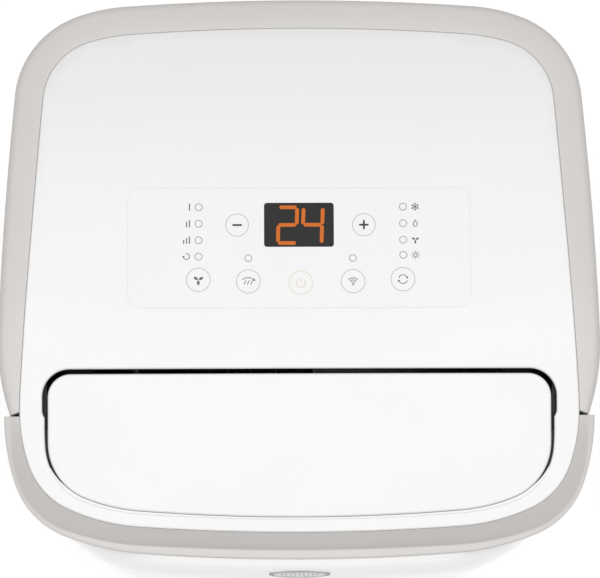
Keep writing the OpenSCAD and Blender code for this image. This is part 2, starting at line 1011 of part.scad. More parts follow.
module mid_partition() {
    color([0.85, 0.86, 0.87])
        difference() {
            prism(partition_z, partition_z + 3) {
                rear_plan(8);
                panel_plan(5);
            }
            translate([-182, -80, 300])
                cylinder(h = 100, r = 8);
            box([-half_w, rear_face_y - wall - fit_gap, 0], [half_w, half_d, body_h]);
        }
}

module water_pump() {
    color(grey) {
        box([-178, 78, base_z + wall], [-138, 118, 92]);
        translate([-158, 98, 92])
            cylinder(h = 26, r = 16);
    }
}

module electrical_box() {
    color([0.85, 0.86, 0.87])
        difference() {
            box([60, -160, 120], [150, -112, 320]);
            box([62, -158, 122], [148, -109, 318]);
        }
}

// ---------- rear fittings ----------

module cord_gland() {
    color(black)
        difference() {
            union() {
                rod_y(-110, 130, 8.8, rear_face_y - wall - 6, rear_face_y + 8);
                rod_y(-110, 130, 12, rear_face_y, rear_face_y + 3);
            }
            rod_y(-110, 130, 4, rear_face_y - 20, half_d);
        }
}

module filter_grille() {
    bars = 19;
    y0 = rear_face_y + 0.4;
    color(white) {
        difference() {
            box([-filter_half_w, y0, 404], [filter_half_w, y0 + 6, 648]);
            box([-124, y0 - 1, 416], [124, half_d, 636]);
        }
        for (i = [0:bars - 1])
            translate([-125, y0 + 1, 420 + i * 11.2])
                cube([250, 4, 4]);
        for (x = [-42, 42])
            box([x - 2, y0 + 0.5, 414], [x + 2, y0 + 4, 638]);
        for (x = [-139.5, filter_half_w - 1])
            rod_x(filter_hinge_y, filter_hinge_z, filter_pin_r, x, x + 4.5);
    }
}

module filter_mesh() {
    pitch = 24;
    y0 = rear_face_y - 2.6;
    color([0.3, 0.32, 0.35]) {
        difference() {
            box([-128, y0, 414], [128, rear_face_y + 0.3, 638]);
            box([-122, y0 - 1, 420], [122, half_d, 632]);
        }
        for (x = [-120:pitch:120])
            box([x - 0.4, y0 + 0.6, 418], [x + 0.4, y0 + 1.4, 634]);
        for (z = [430:pitch:630])
            box([-124, y0 + 0.6, z - 0.4], [124, y0 + 1.4, z + 0.4]);
    }
}

module upper_drain_cap() {
    color(grey)
        difference() {
            rod_y(drain_at.x, drain_at.y, drain_r + 4, rear_face_y + 2, rear_face_y + 13);
            rod_y(drain_at.x, drain_at.y, drain_r + bearing_gap, rear_face_y, rear_face_y + 9.5);
        }
}

module lower_drain_bung() {
    y1 = half_d - 3;
    color(black) {
        rod_y(120, 74, 6 - bearing_gap, y1 - 12, y1 + 1);
        rod_y(120, 74, 9, y1 + 0.1, y1 + 2.8);
    }
}

module panel_screws() {
    color(steel)
        for (x = [-screw_x, screw_x], z = SCREW_Z)
            difference() {
                union() {
                    rod_y(x, z, 2, rear_face_y - wall - 3, rear_face_y + 1);
                    rod_y(x, z, 4, rear_face_y, rear_face_y + 2);
                }
                box([x - 0.5, rear_face_y + 1, z - 3], [x + 0.5, half_d, z + 3]);
                box([x - 3, rear_face_y + 1, z - 0.5], [x + 3, half_d, z + 0.5]);
            }
}

// ---------- castors ----------

module castor_yoke(p) {
    leg = 3;
    inner = castor_w / 2 + 1;
    color(grey)
        translate([p.x, p.y, 0]) {
            translate([0, 0, base_z - 4])
                cylinder(h = 3.8, r = 9);
            cylinder_at(0, 0, 54, 82, castor_stem_r);
            difference() {
                union() {
                    cylinder_at(0, 0, 50.5, 54, 17);
                    box([-inner - leg, 0, 50.5], [inner + leg, castor_trail + 8, 54]);
                    for (s = [-1, 1])
                        mirror([s < 0 ? 1 : 0, 0, 0]) {
                            box([inner, -2, castor_r], [inner + leg, castor_trail + 8, 52]);
                            rod_x(castor_trail, castor_r, 10, inner, inner + leg);
                        }
                }
                rod_x(castor_trail, castor_r, castor_axle_r, -40, 40);
            }
        }
}

module cylinder_at(x, y, z0, z1, r) {
    translate([x, y, z0])
        cylinder(h = z1 - z0, r = r);
}

module castor_wheel(p) {
    color([0.15, 0.15, 0.16])
        translate([p.x, p.y + castor_trail, castor_r])
            rotate([0, 90, 0])
                difference() {
                    union() {
                        cylinder(h = castor_w, r = castor_r - 2, center = true);
                        cylinder(h = castor_w - 4, r = castor_r, center = true);
                    }
                    for (s = [-1, 1])
                        translate([0, 0, s * (castor_w / 2)])
                            difference() {
                                cylinder(h = 5, r = castor_r - 6, center = true);
                                cylinder(h = 6, r = 7, center = true);
                            }
                    cylinder(h = 60, r = castor_axle_r + bearing_gap, center = true);
                }
}

module castor_axle(p) {
    half = castor_w / 2 + 4;
    color(steel)
        rod_x(p.y + castor_trail, castor_r, castor_axle_r, p.x - half, p.x + half);
}

base_pan();
front_panel();
left_side_panel();
right_side_panel();
rear_lower_panel();
rear_upper_frame();
top_cover();
rear_trim_band();
front_trim_band();
front_badge();
control_film();
display_window();
display_module();
control_board();
air_flap();
flap_motor();
outlet_duct();
for (i = [1:vane_count])
    vane(i);
vane_link();
evaporator_coil();
upper_fan_wheel();
upper_fan_scroll();
upper_fan_motor();
condenser_coil();
lower_fan_wheel();
lower_fan_scroll();
lower_fan_motor();
exhaust_duct();
exhaust_collar();
compressor();
compressor_feet();
accumulator();
reversing_valve();
refrigerant_pipes();
condensate_tray();
mid_partition();
water_pump();
electrical_box();
cord_gland();
filter_grille();
filter_mesh();
upper_drain_cap();
lower_drain_bung();
for (k = [0:3]) {
    castor_yoke(CASTOR_AT[k]);
    castor_wheel(CASTOR_AT[k]);
    castor_axle(CASTOR_AT[k]);
}
panel_screws();
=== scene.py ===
"""Looks of the portable air conditioner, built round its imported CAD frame. Lengths here are millimetres."""

import json
import math

import bmesh
import bpy
import numpy as np
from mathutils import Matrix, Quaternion, Vector
from mathutils.geometry import delaunay_2d_cdt


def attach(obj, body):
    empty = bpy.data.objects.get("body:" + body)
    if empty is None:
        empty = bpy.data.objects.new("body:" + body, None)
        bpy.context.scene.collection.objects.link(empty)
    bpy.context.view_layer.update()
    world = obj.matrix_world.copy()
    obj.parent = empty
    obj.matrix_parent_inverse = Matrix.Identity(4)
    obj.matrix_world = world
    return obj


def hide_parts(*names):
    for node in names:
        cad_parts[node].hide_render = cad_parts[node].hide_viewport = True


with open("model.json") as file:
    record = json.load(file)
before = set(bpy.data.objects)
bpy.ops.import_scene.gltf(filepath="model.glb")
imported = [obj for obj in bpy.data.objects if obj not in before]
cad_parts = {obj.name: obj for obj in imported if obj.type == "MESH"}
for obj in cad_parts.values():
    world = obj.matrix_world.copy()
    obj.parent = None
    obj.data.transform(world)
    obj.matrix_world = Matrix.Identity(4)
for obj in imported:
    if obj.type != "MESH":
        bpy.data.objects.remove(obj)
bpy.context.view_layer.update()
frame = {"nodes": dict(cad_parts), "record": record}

MM = 0.001
WELD = 1e-6
SLIVER = 1e-4
SHARP = math.radians(38)

# ---------- sizes shared with the CAD source ----------

HALF_W, HALF_D, TOP_Z = 210.0, 205.0, 720.0
SLOPE = math.radians(5)
RIDGE_Y, RIDGE_R = -44.0, 250.0
RIDGE_BOW, CROWN, CROWN_HALF_W = 20, 1.2, 194
SPLIT_Y = -91.5
SKIN_Z, BAND_Z, PANEL_TOP_Z = 101.0, 676.0, 676.0
WALL = 3.0
# five-arc plans: half width, y of the widest place, end y, end angle, two corner arcs (radius, angle),
# side angle, radius at the widest place. Angles run from the end's middle to the side.
REAR_PLAN = (HALF_W, -41, HALF_D, 4.2, 119, 21.8, 66, 85, 88.5, 150)
FRONT_PLAN = (HALF_W - 4.5, 94.4, 190.2, 4.2, 193, 21.1, 57.8, 72.5, 90, 0)
COVER_REAR = (HALF_W - 15.4, -88, HALF_D - 21.3, 4.2, 142, 16.1, 46.4, 85.4, 86.6, 300)
COVER_FRONT = (HALF_W - 15.4, 88, 172.3, 4.1, 142, 24.5, 51.5, 70.3, 90, 0)
FLAP_FRONT = (175, 106.5, 161.8, 4.6, 127, 22.1, 41.2, 88.3, 90, 0)
OPENING_FRONT = (177.1, 100.7, 162.7, 4.1, 147, 19.4, 43, 85.7, 90, 0)
# rear ends of the flap and its opening: half width, y of the edge, corner radius
FLAP_REAR = (175.01, -62.4, 16)
OPENING_REAR = (178.8, -59.1, 19)
# three-arc plan: half width, y of the widest place, side radius, end y, end radius, corner radius
PANEL_PLAN = (HALF_W - 10, 91.5, 900, HALF_D, 1500, 110)
NECK_R, STEP_LENGTH = 70, 2.6
REAR_FACE_Y = HALF_D - 20

# ---------- outlines ----------


def arc(c, r, a, b, n):
    t = np.radians(np.linspace(a, b, n + 1))
    return np.column_stack([c[0] + r * np.cos(t), c[1] + r * np.sin(t)])


def quarter(plan, inset=0.0, back=0.0):
    """Side arc, corner arc and end arc of a quarter plan, each touching the next; back moves the end in."""
    half, side_y, side_r, end_y, end_r, corner_r = plan
    side = np.array([half - side_r, side_y], float)
    end = np.array([0.0, end_y - back - end_r])
    r1, r2 = end_r - corner_r, side_r - corner_r
    gap = side - end
    d = np.linalg.norm(gap)
    along = (r1 * r1 - r2 * r2 + d * d) / (2 * d)
    u = gap / d
    corner = end + along * u + math.sqrt(r1 * r1 - along * along) * np.array([u[1], -u[0]])
    a1 = math.degrees(math.atan2(*(corner - side)[::-1]))
    a2 = math.degrees(math.atan2(*(corner - end)[::-1]))
    parts = [arc(side, side_r - inset, 0, a1, 60), arc(corner, corner_r - inset, a1, a2, 40)[1:],
             arc(end, end_r - inset, a2, 90, 60)[1:]]
    return np.vstack(parts)


def soft_quarter(plan, inset=0.0):
    """Points of a five-arc quarter plan from the side to the end's middle."""
    half, side_y, end_y, a1, r2, a2, r3, a3, a4, r5 = plan
    s1, s2, s3, s4 = (math.sin(math.radians(a)) for a in (a1, a2, a3, a4))
    c1, c2, c3, c4 = (math.cos(math.radians(a)) for a in (a1, a2, a3, a4))
    wide = half - r2 * (s2 - s1) - r3 * (s3 - s2) - r5 * (1 - s4)
    long = end_y - side_y - r2 * (c1 - c2) - r3 * (c2 - c3) - r5 * c4
    r1, r4 = np.linalg.solve([[s1, s4 - s3], [1 - c1, c3 - c4]], [wide, long])
    radii, angles = (r1, r2, r3, r4, r5), (0, a1, a2, a3, a4, 90)
    centre = np.array([0.0, end_y - r1])
    parts = []
    for k, r in enumerate(radii):
        if k:
            turn = math.radians(angles[k])
            centre = centre + (radii[k - 1] - r) * np.array([math.sin(turn), math.cos(turn)])
        if angles[k + 1] > angles[k]:
            parts.append(arc(centre, r - inset, 90 - angles[k + 1], 90 - angles[k], 30))
    return tidy(np.vstack(parts[::-1]))


def flip_x(p):
    return (p * (-1, 1))[::-1]


def flip_y(p):
    return (p * (1, -1))[::-1]


def tidy(p):
    """The points without those that repeat the one before."""
    keep = np.linalg.norm(np.diff(p, axis=0), axis=1) > 1e-6
    return p[np.concatenate([[True], keep])]


def whole(half):
    """A closed loop from its right-hand half, which starts and ends on the centre line."""
    return tidy(np.vstack([half, flip_x(half)[1:-1]]))


def even(p, step, closed):
    """The line resampled to even steps."""
    q = np.vstack([p, p[:1]]) if closed else p
    run = np.concatenate([[0], np.cumsum(np.linalg.norm(np.diff(q, axis=0), axis=1))])
    n = max(2, round(run[-1] / step))
    at = np.linspace(0, run[-1], n + 1)[: n if closed else n + 1]
    return np.column_stack([np.interp(at, run, q[:, 0]), np.interp(at, run, q[:, 1])])


def normals(p, closed):
    """Unit normals to the right of the way the line runs, which is outward on a counter-clockwise loop."""
    if closed:
        before, after = p - np.roll(p, 1, 0), np.roll(p, -1, 0) - p
    else:
        d = np.diff(p, axis=0)
        before, after = np.vstack([d[:1], d]), np.vstack([d, d[-1:]])
    before = before / np.linalg.norm(before, axis=1)[:, None]
    after = after / np.linalg.norm(after, axis=1)[:, None]
    t = before + after
    t = t / np.linalg.norm(t, axis=1)[:, None]
    stretch = 1 / np.maximum(0.5, np.sum(t * after, axis=1))
    return np.column_stack([t[:, 1], -t[:, 0]]) * stretch[:, None]


def grow(p, by, closed=True):
    return p + normals(p, closed) * by


def ring(x, y, r, n=32):
    return arc((x, y), r, 0, 360, n)[:-1]


def round_rect(x0, y0, x1, y1, r, n=6, step=None):
    corners = [((x1 - r, y0 + r), -90), ((x1 - r, y1 - r), 0),
               ((x0 + r, y1 - r), 90), ((x0 + r, y0 + r), 180)]
    loop = np.vstack([arc(c, r, a, a + 90, n) for c, a in corners])
    if step is None:
        return loop
    out = []
    for a, b in zip(loop, np.roll(loop, -1, 0)):
        k = max(1, math.ceil(np.linalg.norm(b - a) / step))
        out += [a + (b - a) * i / k for i in range(k)]
    return np.array(out)


def stroke(points, width):
    """The loop round a drawn line of that width with round ends."""
    p = np.array(points, float)
    n = normals(p, False) * width / 2
    a0 = math.degrees(math.atan2(*n[0][::-1]))
    a1 = math.degrees(math.atan2(*n[-1][::-1]))
    return np.vstack([p + n, arc(p[-1], width / 2, a1, a1 + 180, 6)[1:-1], (p - n)[::-1],
                      arc(p[0], width / 2, a0 + 180, a0 + 360, 6)[1:-1]])


def rounded(points, radii, n=4):
    """A closed outline whose corners are rounded, with the same count of points for any sizes."""
    p = [np.array(q, float) for q in points]
    out = []
    for i, (c, r) in enumerate(zip(p, radii)):
        a, b = p[i - 1] - c, p[(i + 1) % len(p)] - c
        la, lb = np.linalg.norm(a), np.linalg.norm(b)
        a, b = c + a / la * min(r, la * 0.45), c + b / lb * min(r, lb * 0.45)
        for k in range(n + 1):
            t = k / n
            out.append((1 - t) ** 2 * a + 2 * t * (1 - t) * c + t * t * b)
    return np.array(out)


def round_off(edge, n):
    """Steps of a rounded edge, from the face to the side: (how far in from the outline, depth)."""
    turns = [math.radians(90 * k / n) for k in range(n + 1)]
    return [(edge * (1 - math.sin(a)), edge * (1 - math.cos(a))) for a in turns]


def unit(angle):
    return np.array([math.cos(angle), math.sin(angle)])


def rear_curve(inset=0.0, y0=SPLIT_Y):
    """Right half of the rear body's outline, from y0 to the centre of the rear."""
    r = REAR_PLAN[-1] - inset
    c = (REAR_PLAN[0] - REAR_PLAN[-1], REAR_PLAN[1])
    neck = arc(c, r, math.degrees(math.asin((y0 - c[1]) / r)), 0, 16)
    return tidy(np.vstack([neck, soft_quarter(REAR_PLAN, inset)]))


def front_curve(y0=SPLIT_Y):
    """Right half of the front body's outline, from the centre of the front to y0."""
    c = (FRONT_PLAN[0] - NECK_R, -FRONT_PLAN[1])
    neck = arc(c, NECK_R, 0, math.degrees(math.asin((y0 - c[1]) / NECK_R)), 6)
    return tidy(np.vstack([flip_y(soft_quarter(FRONT_PLAN)), neck]))


def tongue(front, rear):
    """A loop with a round-cornered rear edge, a front from a quarter plan and a soft step between them."""
    half, rear_y, corner = rear
    nose = flip_y(soft_quarter(front))
    x0, y0 = nose[-1]
    t = np.linspace(0, 1, 9)
    step_y = max(y0 + 0.4, SPLIT_Y - 0.6)
    step = np.column_stack([x0 + (half - x0) * t * t * (3 - 2 * t), step_y + STEP_LENGTH * t])
    turn = arc((half - corner, rear_y - corner), corner, 0, 90, 24)
    return whole(tidy(np.vstack([nose, step, turn, [[0, rear_y]]])))


COVER = even(whole(tidy(np.vstack([flip_y(soft_quarter(COVER_FRONT)), soft_quarter(COVER_REAR)]))), 3, True)
FLAP = even(tongue(FLAP_FRONT, FLAP_REAR), 2.5, True)
OPENING = even(tongue(OPENING_FRONT, OPENING_REAR), 2.5, True)

# ---------- placing plan points in space ----------


def roof(p, dz=0.0):
    """Points of the crowned roof over plan points, dz above it."""
    x, y = p[:, 0], p[:, 1]
    off = np.abs(y - RIDGE_Y - RIDGE_BOW * (x / CROWN_HALF_W) ** 2)
    drop = RIDGE_R * (1 / math.cos(SLOPE) - 1)
    flat = TOP_Z + drop - off * math.tan(SLOPE)
    near = TOP_Z - RIDGE_R + np.sqrt(np.maximum(RIDGE_R ** 2 - off ** 2, 1))
    z = np.where(off < RIDGE_R * math.sin(SLOPE), near, flat) - CROWN * (x / CROWN_HALF_W) ** 2
    return np.column_stack([x, y, z + dz])


def film_plan(p):
    """Plan points from points on the control film, whose y runs up the rear slope from the ridge."""
    p = np.asarray(p, float)
    return np.column_stack([p[:, 0], RIDGE_Y + p[:, 1] * math.cos(SLOPE)])


def level(p, z):
    return np.column_stack([p, np.full(len(p), z, float)])


def facing_x(x, way):
    """Places loops drawn as (y, z) in the plane at x, with depth running along X in that way."""
    return lambda p, d: np.column_stack([np.full(len(p), x + way * d), p[:, 0], p[:, 1]])


# ---------- meshes ----------


def inside(p, loop):
    """Which points lie inside the loop."""
    a, b = loop, np.roll(loop, -1, 0)
    x, y = p[:, :1], p[:, 1:2]
    span = (a[:, 1] > y) != (b[:, 1] > y)
    rise = np.where(b[:, 1] == a[:, 1], 1e-12, b[:, 1] - a[:, 1])
    cut = a[:, 0] + (y - a[:, 1]) * (b[:, 0] - a[:, 0]) / rise
    return np.sum(span & (x < cut), axis=1) % 2 == 1


class Skin:
    """Faces gathered from strips and sheets, then welded into one mesh."""

    def __init__(self):
        self.points, self.faces = [], []

    def add(self, points):
        start = len(self.points)
        self.points += [tuple(p) for p in points]
        return start

    def strip(self, rings, closed=True, around=False):
        """Quads from each ring to the next. around joins the last ring to the first."""
        starts = [self.add(r) for r in rings]
        n = len(rings[0])
        pairs = list(zip(starts, starts[1:])) + ([(starts[-1], starts[0])] if around else [])
        for a, b in pairs:
            for i in range(n if closed else n - 1):
                j = (i + 1) % n
                self.faces.append((a + i, a + j, b + j, b + i))
        return starts

    def sheet(self, outer, holes, place, step=None):
        """The area between loops, filled with triangles and put in space by place."""
        loops = [outer, *holes]
        flat = np.vstack(loops)
        if step is not None:
            sx, sy = step
            lo, hi = outer.min(0), outer.max(0)
            gx, gy = np.meshgrid(np.arange(lo[0] + sx / 2, hi[0], sx), np.arange(lo[1] + sy / 2, hi[1], sy))
            grid = np.column_stack([gx.ravel(), gy.ravel()])
            grid = grid[inside(grid, outer)]
            for h in holes:
                grid = grid[~inside(grid, h)]
            near = np.array([np.min(np.hypot(*((flat - g) / (sx, sy)).T)) for g in grid])
            grid = grid[near > 0.5]
            scale = np.array(step, float)
        else:
            grid = np.zeros((0, 2))
            scale = np.ones(2)
        edges, start = [], 0
        for loop in loops:
            n = len(loop)
            edges += [(start + i, start + (i + 1) % n) for i in range(n)]
            start += n
        verts = [Vector(p) for p in np.vstack([flat, grid]) / scale]
        out = delaunay_2d_cdt(verts, edges, [], 0, 1e-6)
        xy = np.array([tuple(v) for v in out[0]]) * scale
        tri = np.array(out[2])
        mid = xy[tri].mean(1)
        keep = inside(mid, outer)
        for h in holes:
            keep &= ~inside(mid, h)
        start = self.add(place(xy))
        self.faces += [tuple(start + i for i in t) for t in tri[keep]]

    def plate(self, outer, holes, place, thick, edge, step=None, n=3):
        """A plate with rounded edges. place(points, depth) puts its plan in space, depth under the face."""
        face = round_off(edge, n) if edge else [(0, 0)]
        rim = face + [(b, thick - d) for b, d in face[::-1]]
        for sign, loop in [(-1, outer), *((1, hole) for hole in holes)]:
            self.strip([place(grow(loop, sign * b), d) for b, d in rim])
        flat, openings = grow(outer, -edge), [grow(h, edge) for h in holes]
        for d in (0, thick):
            self.sheet(flat, openings, lambda p, d=d: place(p, d), step)

    def cap(self, start, n):
        self.faces.append(tuple(range(start, start + n)))

    def close_ends(self, starts, n):
        """Faces over both ends of an open strip that goes around."""
        for k in (0, n - 1):
            self.faces.append(tuple(s + k for s in starts))

    def lathe(self, profile, centre, axis, n=64, around=True):
        """A profile of (radius, distance along the axis) turned about it."""
        t = np.linspace(0, 2 * math.pi, n, endpoint=False)
        c, s = np.cos(t), np.sin(t)
        rings = []
        for r, h in profile:
            a, b, w = r * c, r * s, np.full(n, h, float)
            cols = {"x": (w, a, b), "y": (a, w, b), "z": (a, b, w)}[axis]
            rings.append(np.column_stack(cols) + np.array(centre, float))
        starts = self.strip(rings, around=around)
        if not around:
            self.cap(starts[0], n)
            self.cap(starts[-1], n)

    def block(self, low, high, edge, n=2):
        """A box with rounded edges."""
        low, high = np.array(low, float), np.array(high, float)
        edge = min(edge, min(high - low) * 0.49)
        face = round_off(edge, n)
        rows = [(b, low[2] + d) for b, d in face] + [(b, high[2] - d) for b, d in face[::-1]]
        loops = [round_rect(low[0] + b, low[1] + b, high[0] - b, high[1] - b, max(edge - b, SLIVER), n)
                 for b, z in rows]
        starts = self.strip([level(loop, z) for loop, (b, z) in zip(loops, rows)])
        self.cap(starts[0], len(loops[0]))
        self.cap(starts[-1], len(loops[-1]))

    def build(self, name, material, body, slot, *nodes):
        mesh = bpy.data.meshes.new(name)
        bm = bmesh.new()
        verts = [bm.verts.new(Vector(p) * MM) for p in self.points]
        for f in self.faces:
            bm.faces.new([verts[i] for i in f])
        bmesh.ops.remove_doubles(bm, verts=bm.verts, dist=WELD)
        bmesh.ops.dissolve_degenerate(bm, edges=bm.edges, dist=WELD / 2)
        loose = [v for v in bm.verts if not v.link_faces]
        bmesh.ops.delete(bm, geom=loose, context="VERTS")
        bmesh.ops.recalc_face_normals(bm, faces=bm.faces)
        for f in bm.faces:
            f.smooth = True
        for e in bm.edges:
            e.smooth = len(e.link_faces) == 2 and e.calc_face_angle(0) < SHARP
        bm.to_mesh(mesh)
        bm.free()
        mesh.materials.append(material)
        obj = bpy.data.objects.new(name, mesh)
        bpy.context.scene.collection.objects.link(obj)
        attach(obj, body)
        if nodes:
            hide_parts(*nodes)
        return obj


# ---------- materials ----------


def make_material(name, colour, rough, vary=0.015, rough_vary=0.05, grain=900, depth=0.02, metal=0.0,
                  coat=0.0, stretch=(1, 1, 1), broad=14, emit=0.0, specular=0.5):
    """Moulded or worked surface: broad colour and gloss variation and a fine grain, all from noise."""
    mat = bpy.data.materials.new(name)
    mat.use_nodes = True
    nodes, links = mat.node_tree.nodes, mat.node_tree.links
    shader = nodes["Principled BSDF"]
    shader.inputs["Metallic"].default_value = metal
    shader.inputs["Specular IOR Level"].default_value = specular
    shader.inputs["Coat Weight"].default_value = coat
    shader.inputs["Coat Roughness"].default_value = 0.12
    where = nodes.new("ShaderNodeTexCoord")
    scale = nodes.new("ShaderNodeMapping")
    scale.inputs["Scale"].default_value = stretch
    links.new(where.outputs["Object"], scale.inputs["Vector"])
    cloud = nodes.new("ShaderNodeTexNoise")
    cloud.inputs["Scale"].default_value = broad
    cloud.inputs["Detail"].default_value = 3
    links.new(scale.outputs["Vector"], cloud.inputs["Vector"])
    fine = nodes.new("ShaderNodeTexNoise")
    fine.inputs["Scale"].default_value = grain
    fine.inputs["Detail"].default_value = 2
    links.new(scale.outputs["Vector"], fine.inputs["Vector"])
    tint = nodes.new("ShaderNodeValToRGB")
    tint.color_ramp.elements[0].position = 0.3
    tint.color_ramp.elements[1].position = 0.7
    tint.color_ramp.elements[0].color = [min(1, c * (1 - vary)) for c in colour] + [1]
    tint.color_ramp.elements[1].color = [min(1, c * (1 + vary)) for c in colour] + [1]
    links.new(cloud.outputs["Fac"], tint.inputs["Fac"])
    links.new(tint.outputs["Color"], shader.inputs["Base Color"])
    gloss = nodes.new("ShaderNodeMapRange")
    gloss.inputs["To Min"].default_value = max(0.02, rough - rough_vary)
    gloss.inputs["To Max"].default_value = min(1, rough + rough_vary)
    links.new(fine.outputs["Fac"], gloss.inputs["Value"])
    links.new(gloss.outputs["Result"], shader.inputs["Roughness"])
    bump = nodes.new("ShaderNodeBump")
    bump.inputs["Strength"].default_value = 1.0
    bump.inputs["Distance"].default_value = depth * MM
    links.new(fine.outputs["Fac"], bump.inputs["Height"])
    links.new(bump.outputs["Normal"], shader.inputs["Normal"])
    if emit:
        shader.inputs["Emission Color"].default_value = [*colour, 1]
        shader.inputs["Emission Strength"].default_value = emit
    return mat


# colour, roughness, how far each of the two varies, scale of the grain, its depth in millimetres
MATERIALS = {
    "gloss_white": make_material("gloss_white", (0.745, 0.745, 0.747), 0.22, 0.006, 0.02, 260, 0.004,
                                 coat=0.4),
    # the shells' white is the roof's gloss white plastic painted lighter: painted light on the front and side
    # shells, which the overhead softbox lights less than the roof
    "shell_white_painted_light": make_material("shell_white_painted_light", (0.93, 0.93, 0.932), 0.3, 0.006, 0.03, 700, 0.01, coat=0.4),
    "satin_white": make_material("satin_white", (0.78, 0.78, 0.775), 0.42, 0.01, 0.05, 1600, 0.03),
    "trim": make_material("trim", (0.585, 0.56, 0.54), 0.42, 0.012, 0.05, 1500, 0.02),
    "badge": make_material("badge", (0.46, 0.46, 0.47), 0.22, 0.01, 0.04, 700, 0.004, metal=1.0),
    "badge_field": make_material("badge_field", (0.80, 0.80, 0.81), 0.35, 0.01, 0.04, 700, 0.004),
    "film": make_material("film", (0.79, 0.79, 0.79), 0.34, 0.006, 0.03, 900, 0.004),
    "print_grey": make_material("print_grey", (0.36, 0.36, 0.365), 0.5, 0.03, 0.05, 1500, 0.002),
    "print_dark": make_material("print_dark", (0.03, 0.03, 0.032), 0.5, 0.04, 0.05, 1500, 0.002),
    "print_mid": make_material("print_mid", (0.10, 0.10, 0.104), 0.5, 0.04, 0.05, 1500, 0.002),
    "print_sand": make_material("print_sand", (0.64, 0.58, 0.42), 0.5, 0.03, 0.05, 1500, 0.002),
    "smoked_window": make_material("smoked_window", (0.016, 0.016, 0.0155), 0.3, 0.08, 0.03, 500, 0.002,
                                   specular=0.16),
    "led_amber": make_material("led_amber", (0.47, 0.115, 0.017), 0.6, 0.05, 0.05, 1200, 0.01,
                               emit=0.3, specular=0.16),
    "led_housing": make_material("led_housing", (0.05, 0.05, 0.05), 0.5, 0.05, 0.05, 1200, 0.01),
    "circuit_board": make_material("circuit_board", (0.02, 0.12, 0.05), 0.35, 0.12, 0.08, 500, 0.02),
    "black_plastic": make_material("black_plastic", (0.012, 0.012, 0.012), 0.5, 0.08, 0.06, 1400, 0.03),
    "motor_steel": make_material("motor_steel", (0.5, 0.51, 0.53), 0.34, 0.04, 0.08, 900, 0.01, metal=1.0),
    "screw_steel": make_material("screw_steel", (0.58, 0.58, 0.60), 0.28, 0.04, 0.08, 1800, 0.01, metal=1.0),
    "fins": make_material("fins", (0.72, 0.74, 0.77), 0.38, 0.05, 0.08, 800, 0.02, metal=0.9),
    "fan_grey": make_material("fan_grey", (0.10, 0.105, 0.11), 0.45, 0.05, 0.06, 1400, 0.03),
    "inner_grey": make_material("inner_grey", (0.46, 0.47, 0.48), 0.5, 0.03, 0.06, 1200, 0.03),
    "black_paint": make_material("black_paint", (0.012, 0.012, 0.014), 0.3, 0.1, 0.06, 320, 0.03, coat=0.4),
    "rubber": make_material("rubber", (0.02, 0.02, 0.02), 0.72, 0.12, 0.08, 1600, 0.05),
    "wheel_dark": make_material("wheel_dark", (0.028, 0.028, 0.03), 0.5, 0.1, 0.08, 1200, 0.04),
    "valve_brass": make_material("valve_brass", (0.60, 0.42, 0.16), 0.28, 0.06, 0.08, 900, 0.01, metal=1.0),
    "copper": make_material("copper", (0.72, 0.33, 0.19), 0.3, 0.08, 0.1, 700, 0.01, metal=1.0),
    "filter_net": make_material("filter_net", (0.055, 0.06, 0.068), 0.75, 0.12, 0.08, 1800, 0.03),
}

for row in frame["record"]["subparts"]:
    node = frame["nodes"][row["node"]]
    node.data.materials.clear()
    node.data.materials.append(MATERIALS[row["material_slot"]])

# ---------- roof mouldings ----------

COVER_EDGE, OPENING_EDGE, FLAP_EDGE = 1.0, 1.3, 1.4
COVER_FOOT_Z = BAND_Z + 0.2
RECESS_DEPTH = 0.45
FILM_HALF_W, FILM_START, FILM_END = 119.4, 27.5, 112.5
WINDOW_Y = 86.4
ROOF_STEP = (7, 7)


def film_rect(gap, corner):
    """The control film's outline, drawn flat and grown by gap."""
    return round_rect(-FILM_HALF_W - gap, FILM_START - gap, FILM_HALF_W + gap, FILM_END + gap, corner, 8, 6)


def window_rect(half_w, half_h, corner):
    """A rectangle about the display window's centre, drawn flat."""
    return round_rect(-half_w, WINDOW_Y - half_h, half_w, WINDOW_Y + half_h, corner, 6, 6)


RECESS = film_plan(film_rect(0.5, 9.4))
HOLE = film_plan(window_rect(24.6, 16, 2.2))


def edge_rows(loop, edge, sign):
    """Rows from the roof's face round an edge: sign -1 rounds a loop's inside, +1 the rim of a hole."""
    return [roof(grow(loop, sign * b), -d) for b, d in round_off(edge, 4)]


inner = grow(COVER, -WALL)
skin = Skin()
skin.strip([*edge_rows(COVER, COVER_EDGE, -1), level(COVER, COVER_FOOT_Z)])
skin.strip([level(COVER, COVER_FOOT_Z), level(inner, COVER_FOOT_Z), roof(inner, -WALL)])
skin.sheet(grow(COVER, -COVER_EDGE), [grow(OPENING, OPENING_EDGE), RECESS], roof, ROOF_STEP)
skin.sheet(inner, [OPENING, HOLE], lambda p: roof(p, -WALL), ROOF_STEP)
skin.strip([*edge_rows(OPENING, OPENING_EDGE, 1), roof(OPENING, -WALL)])
skin.strip([roof(RECESS), roof(RECESS, -RECESS_DEPTH)])
skin.sheet(RECESS, [HOLE], lambda p: roof(p, -RECESS_DEPTH), ROOF_STEP)
skin.strip([roof(HOLE, -RECESS_DEPTH), roof(HOLE, -WALL)])
skin.build("roof_cover", MATERIALS["gloss_white"], "cabinet", "gloss_white", "top_cover")

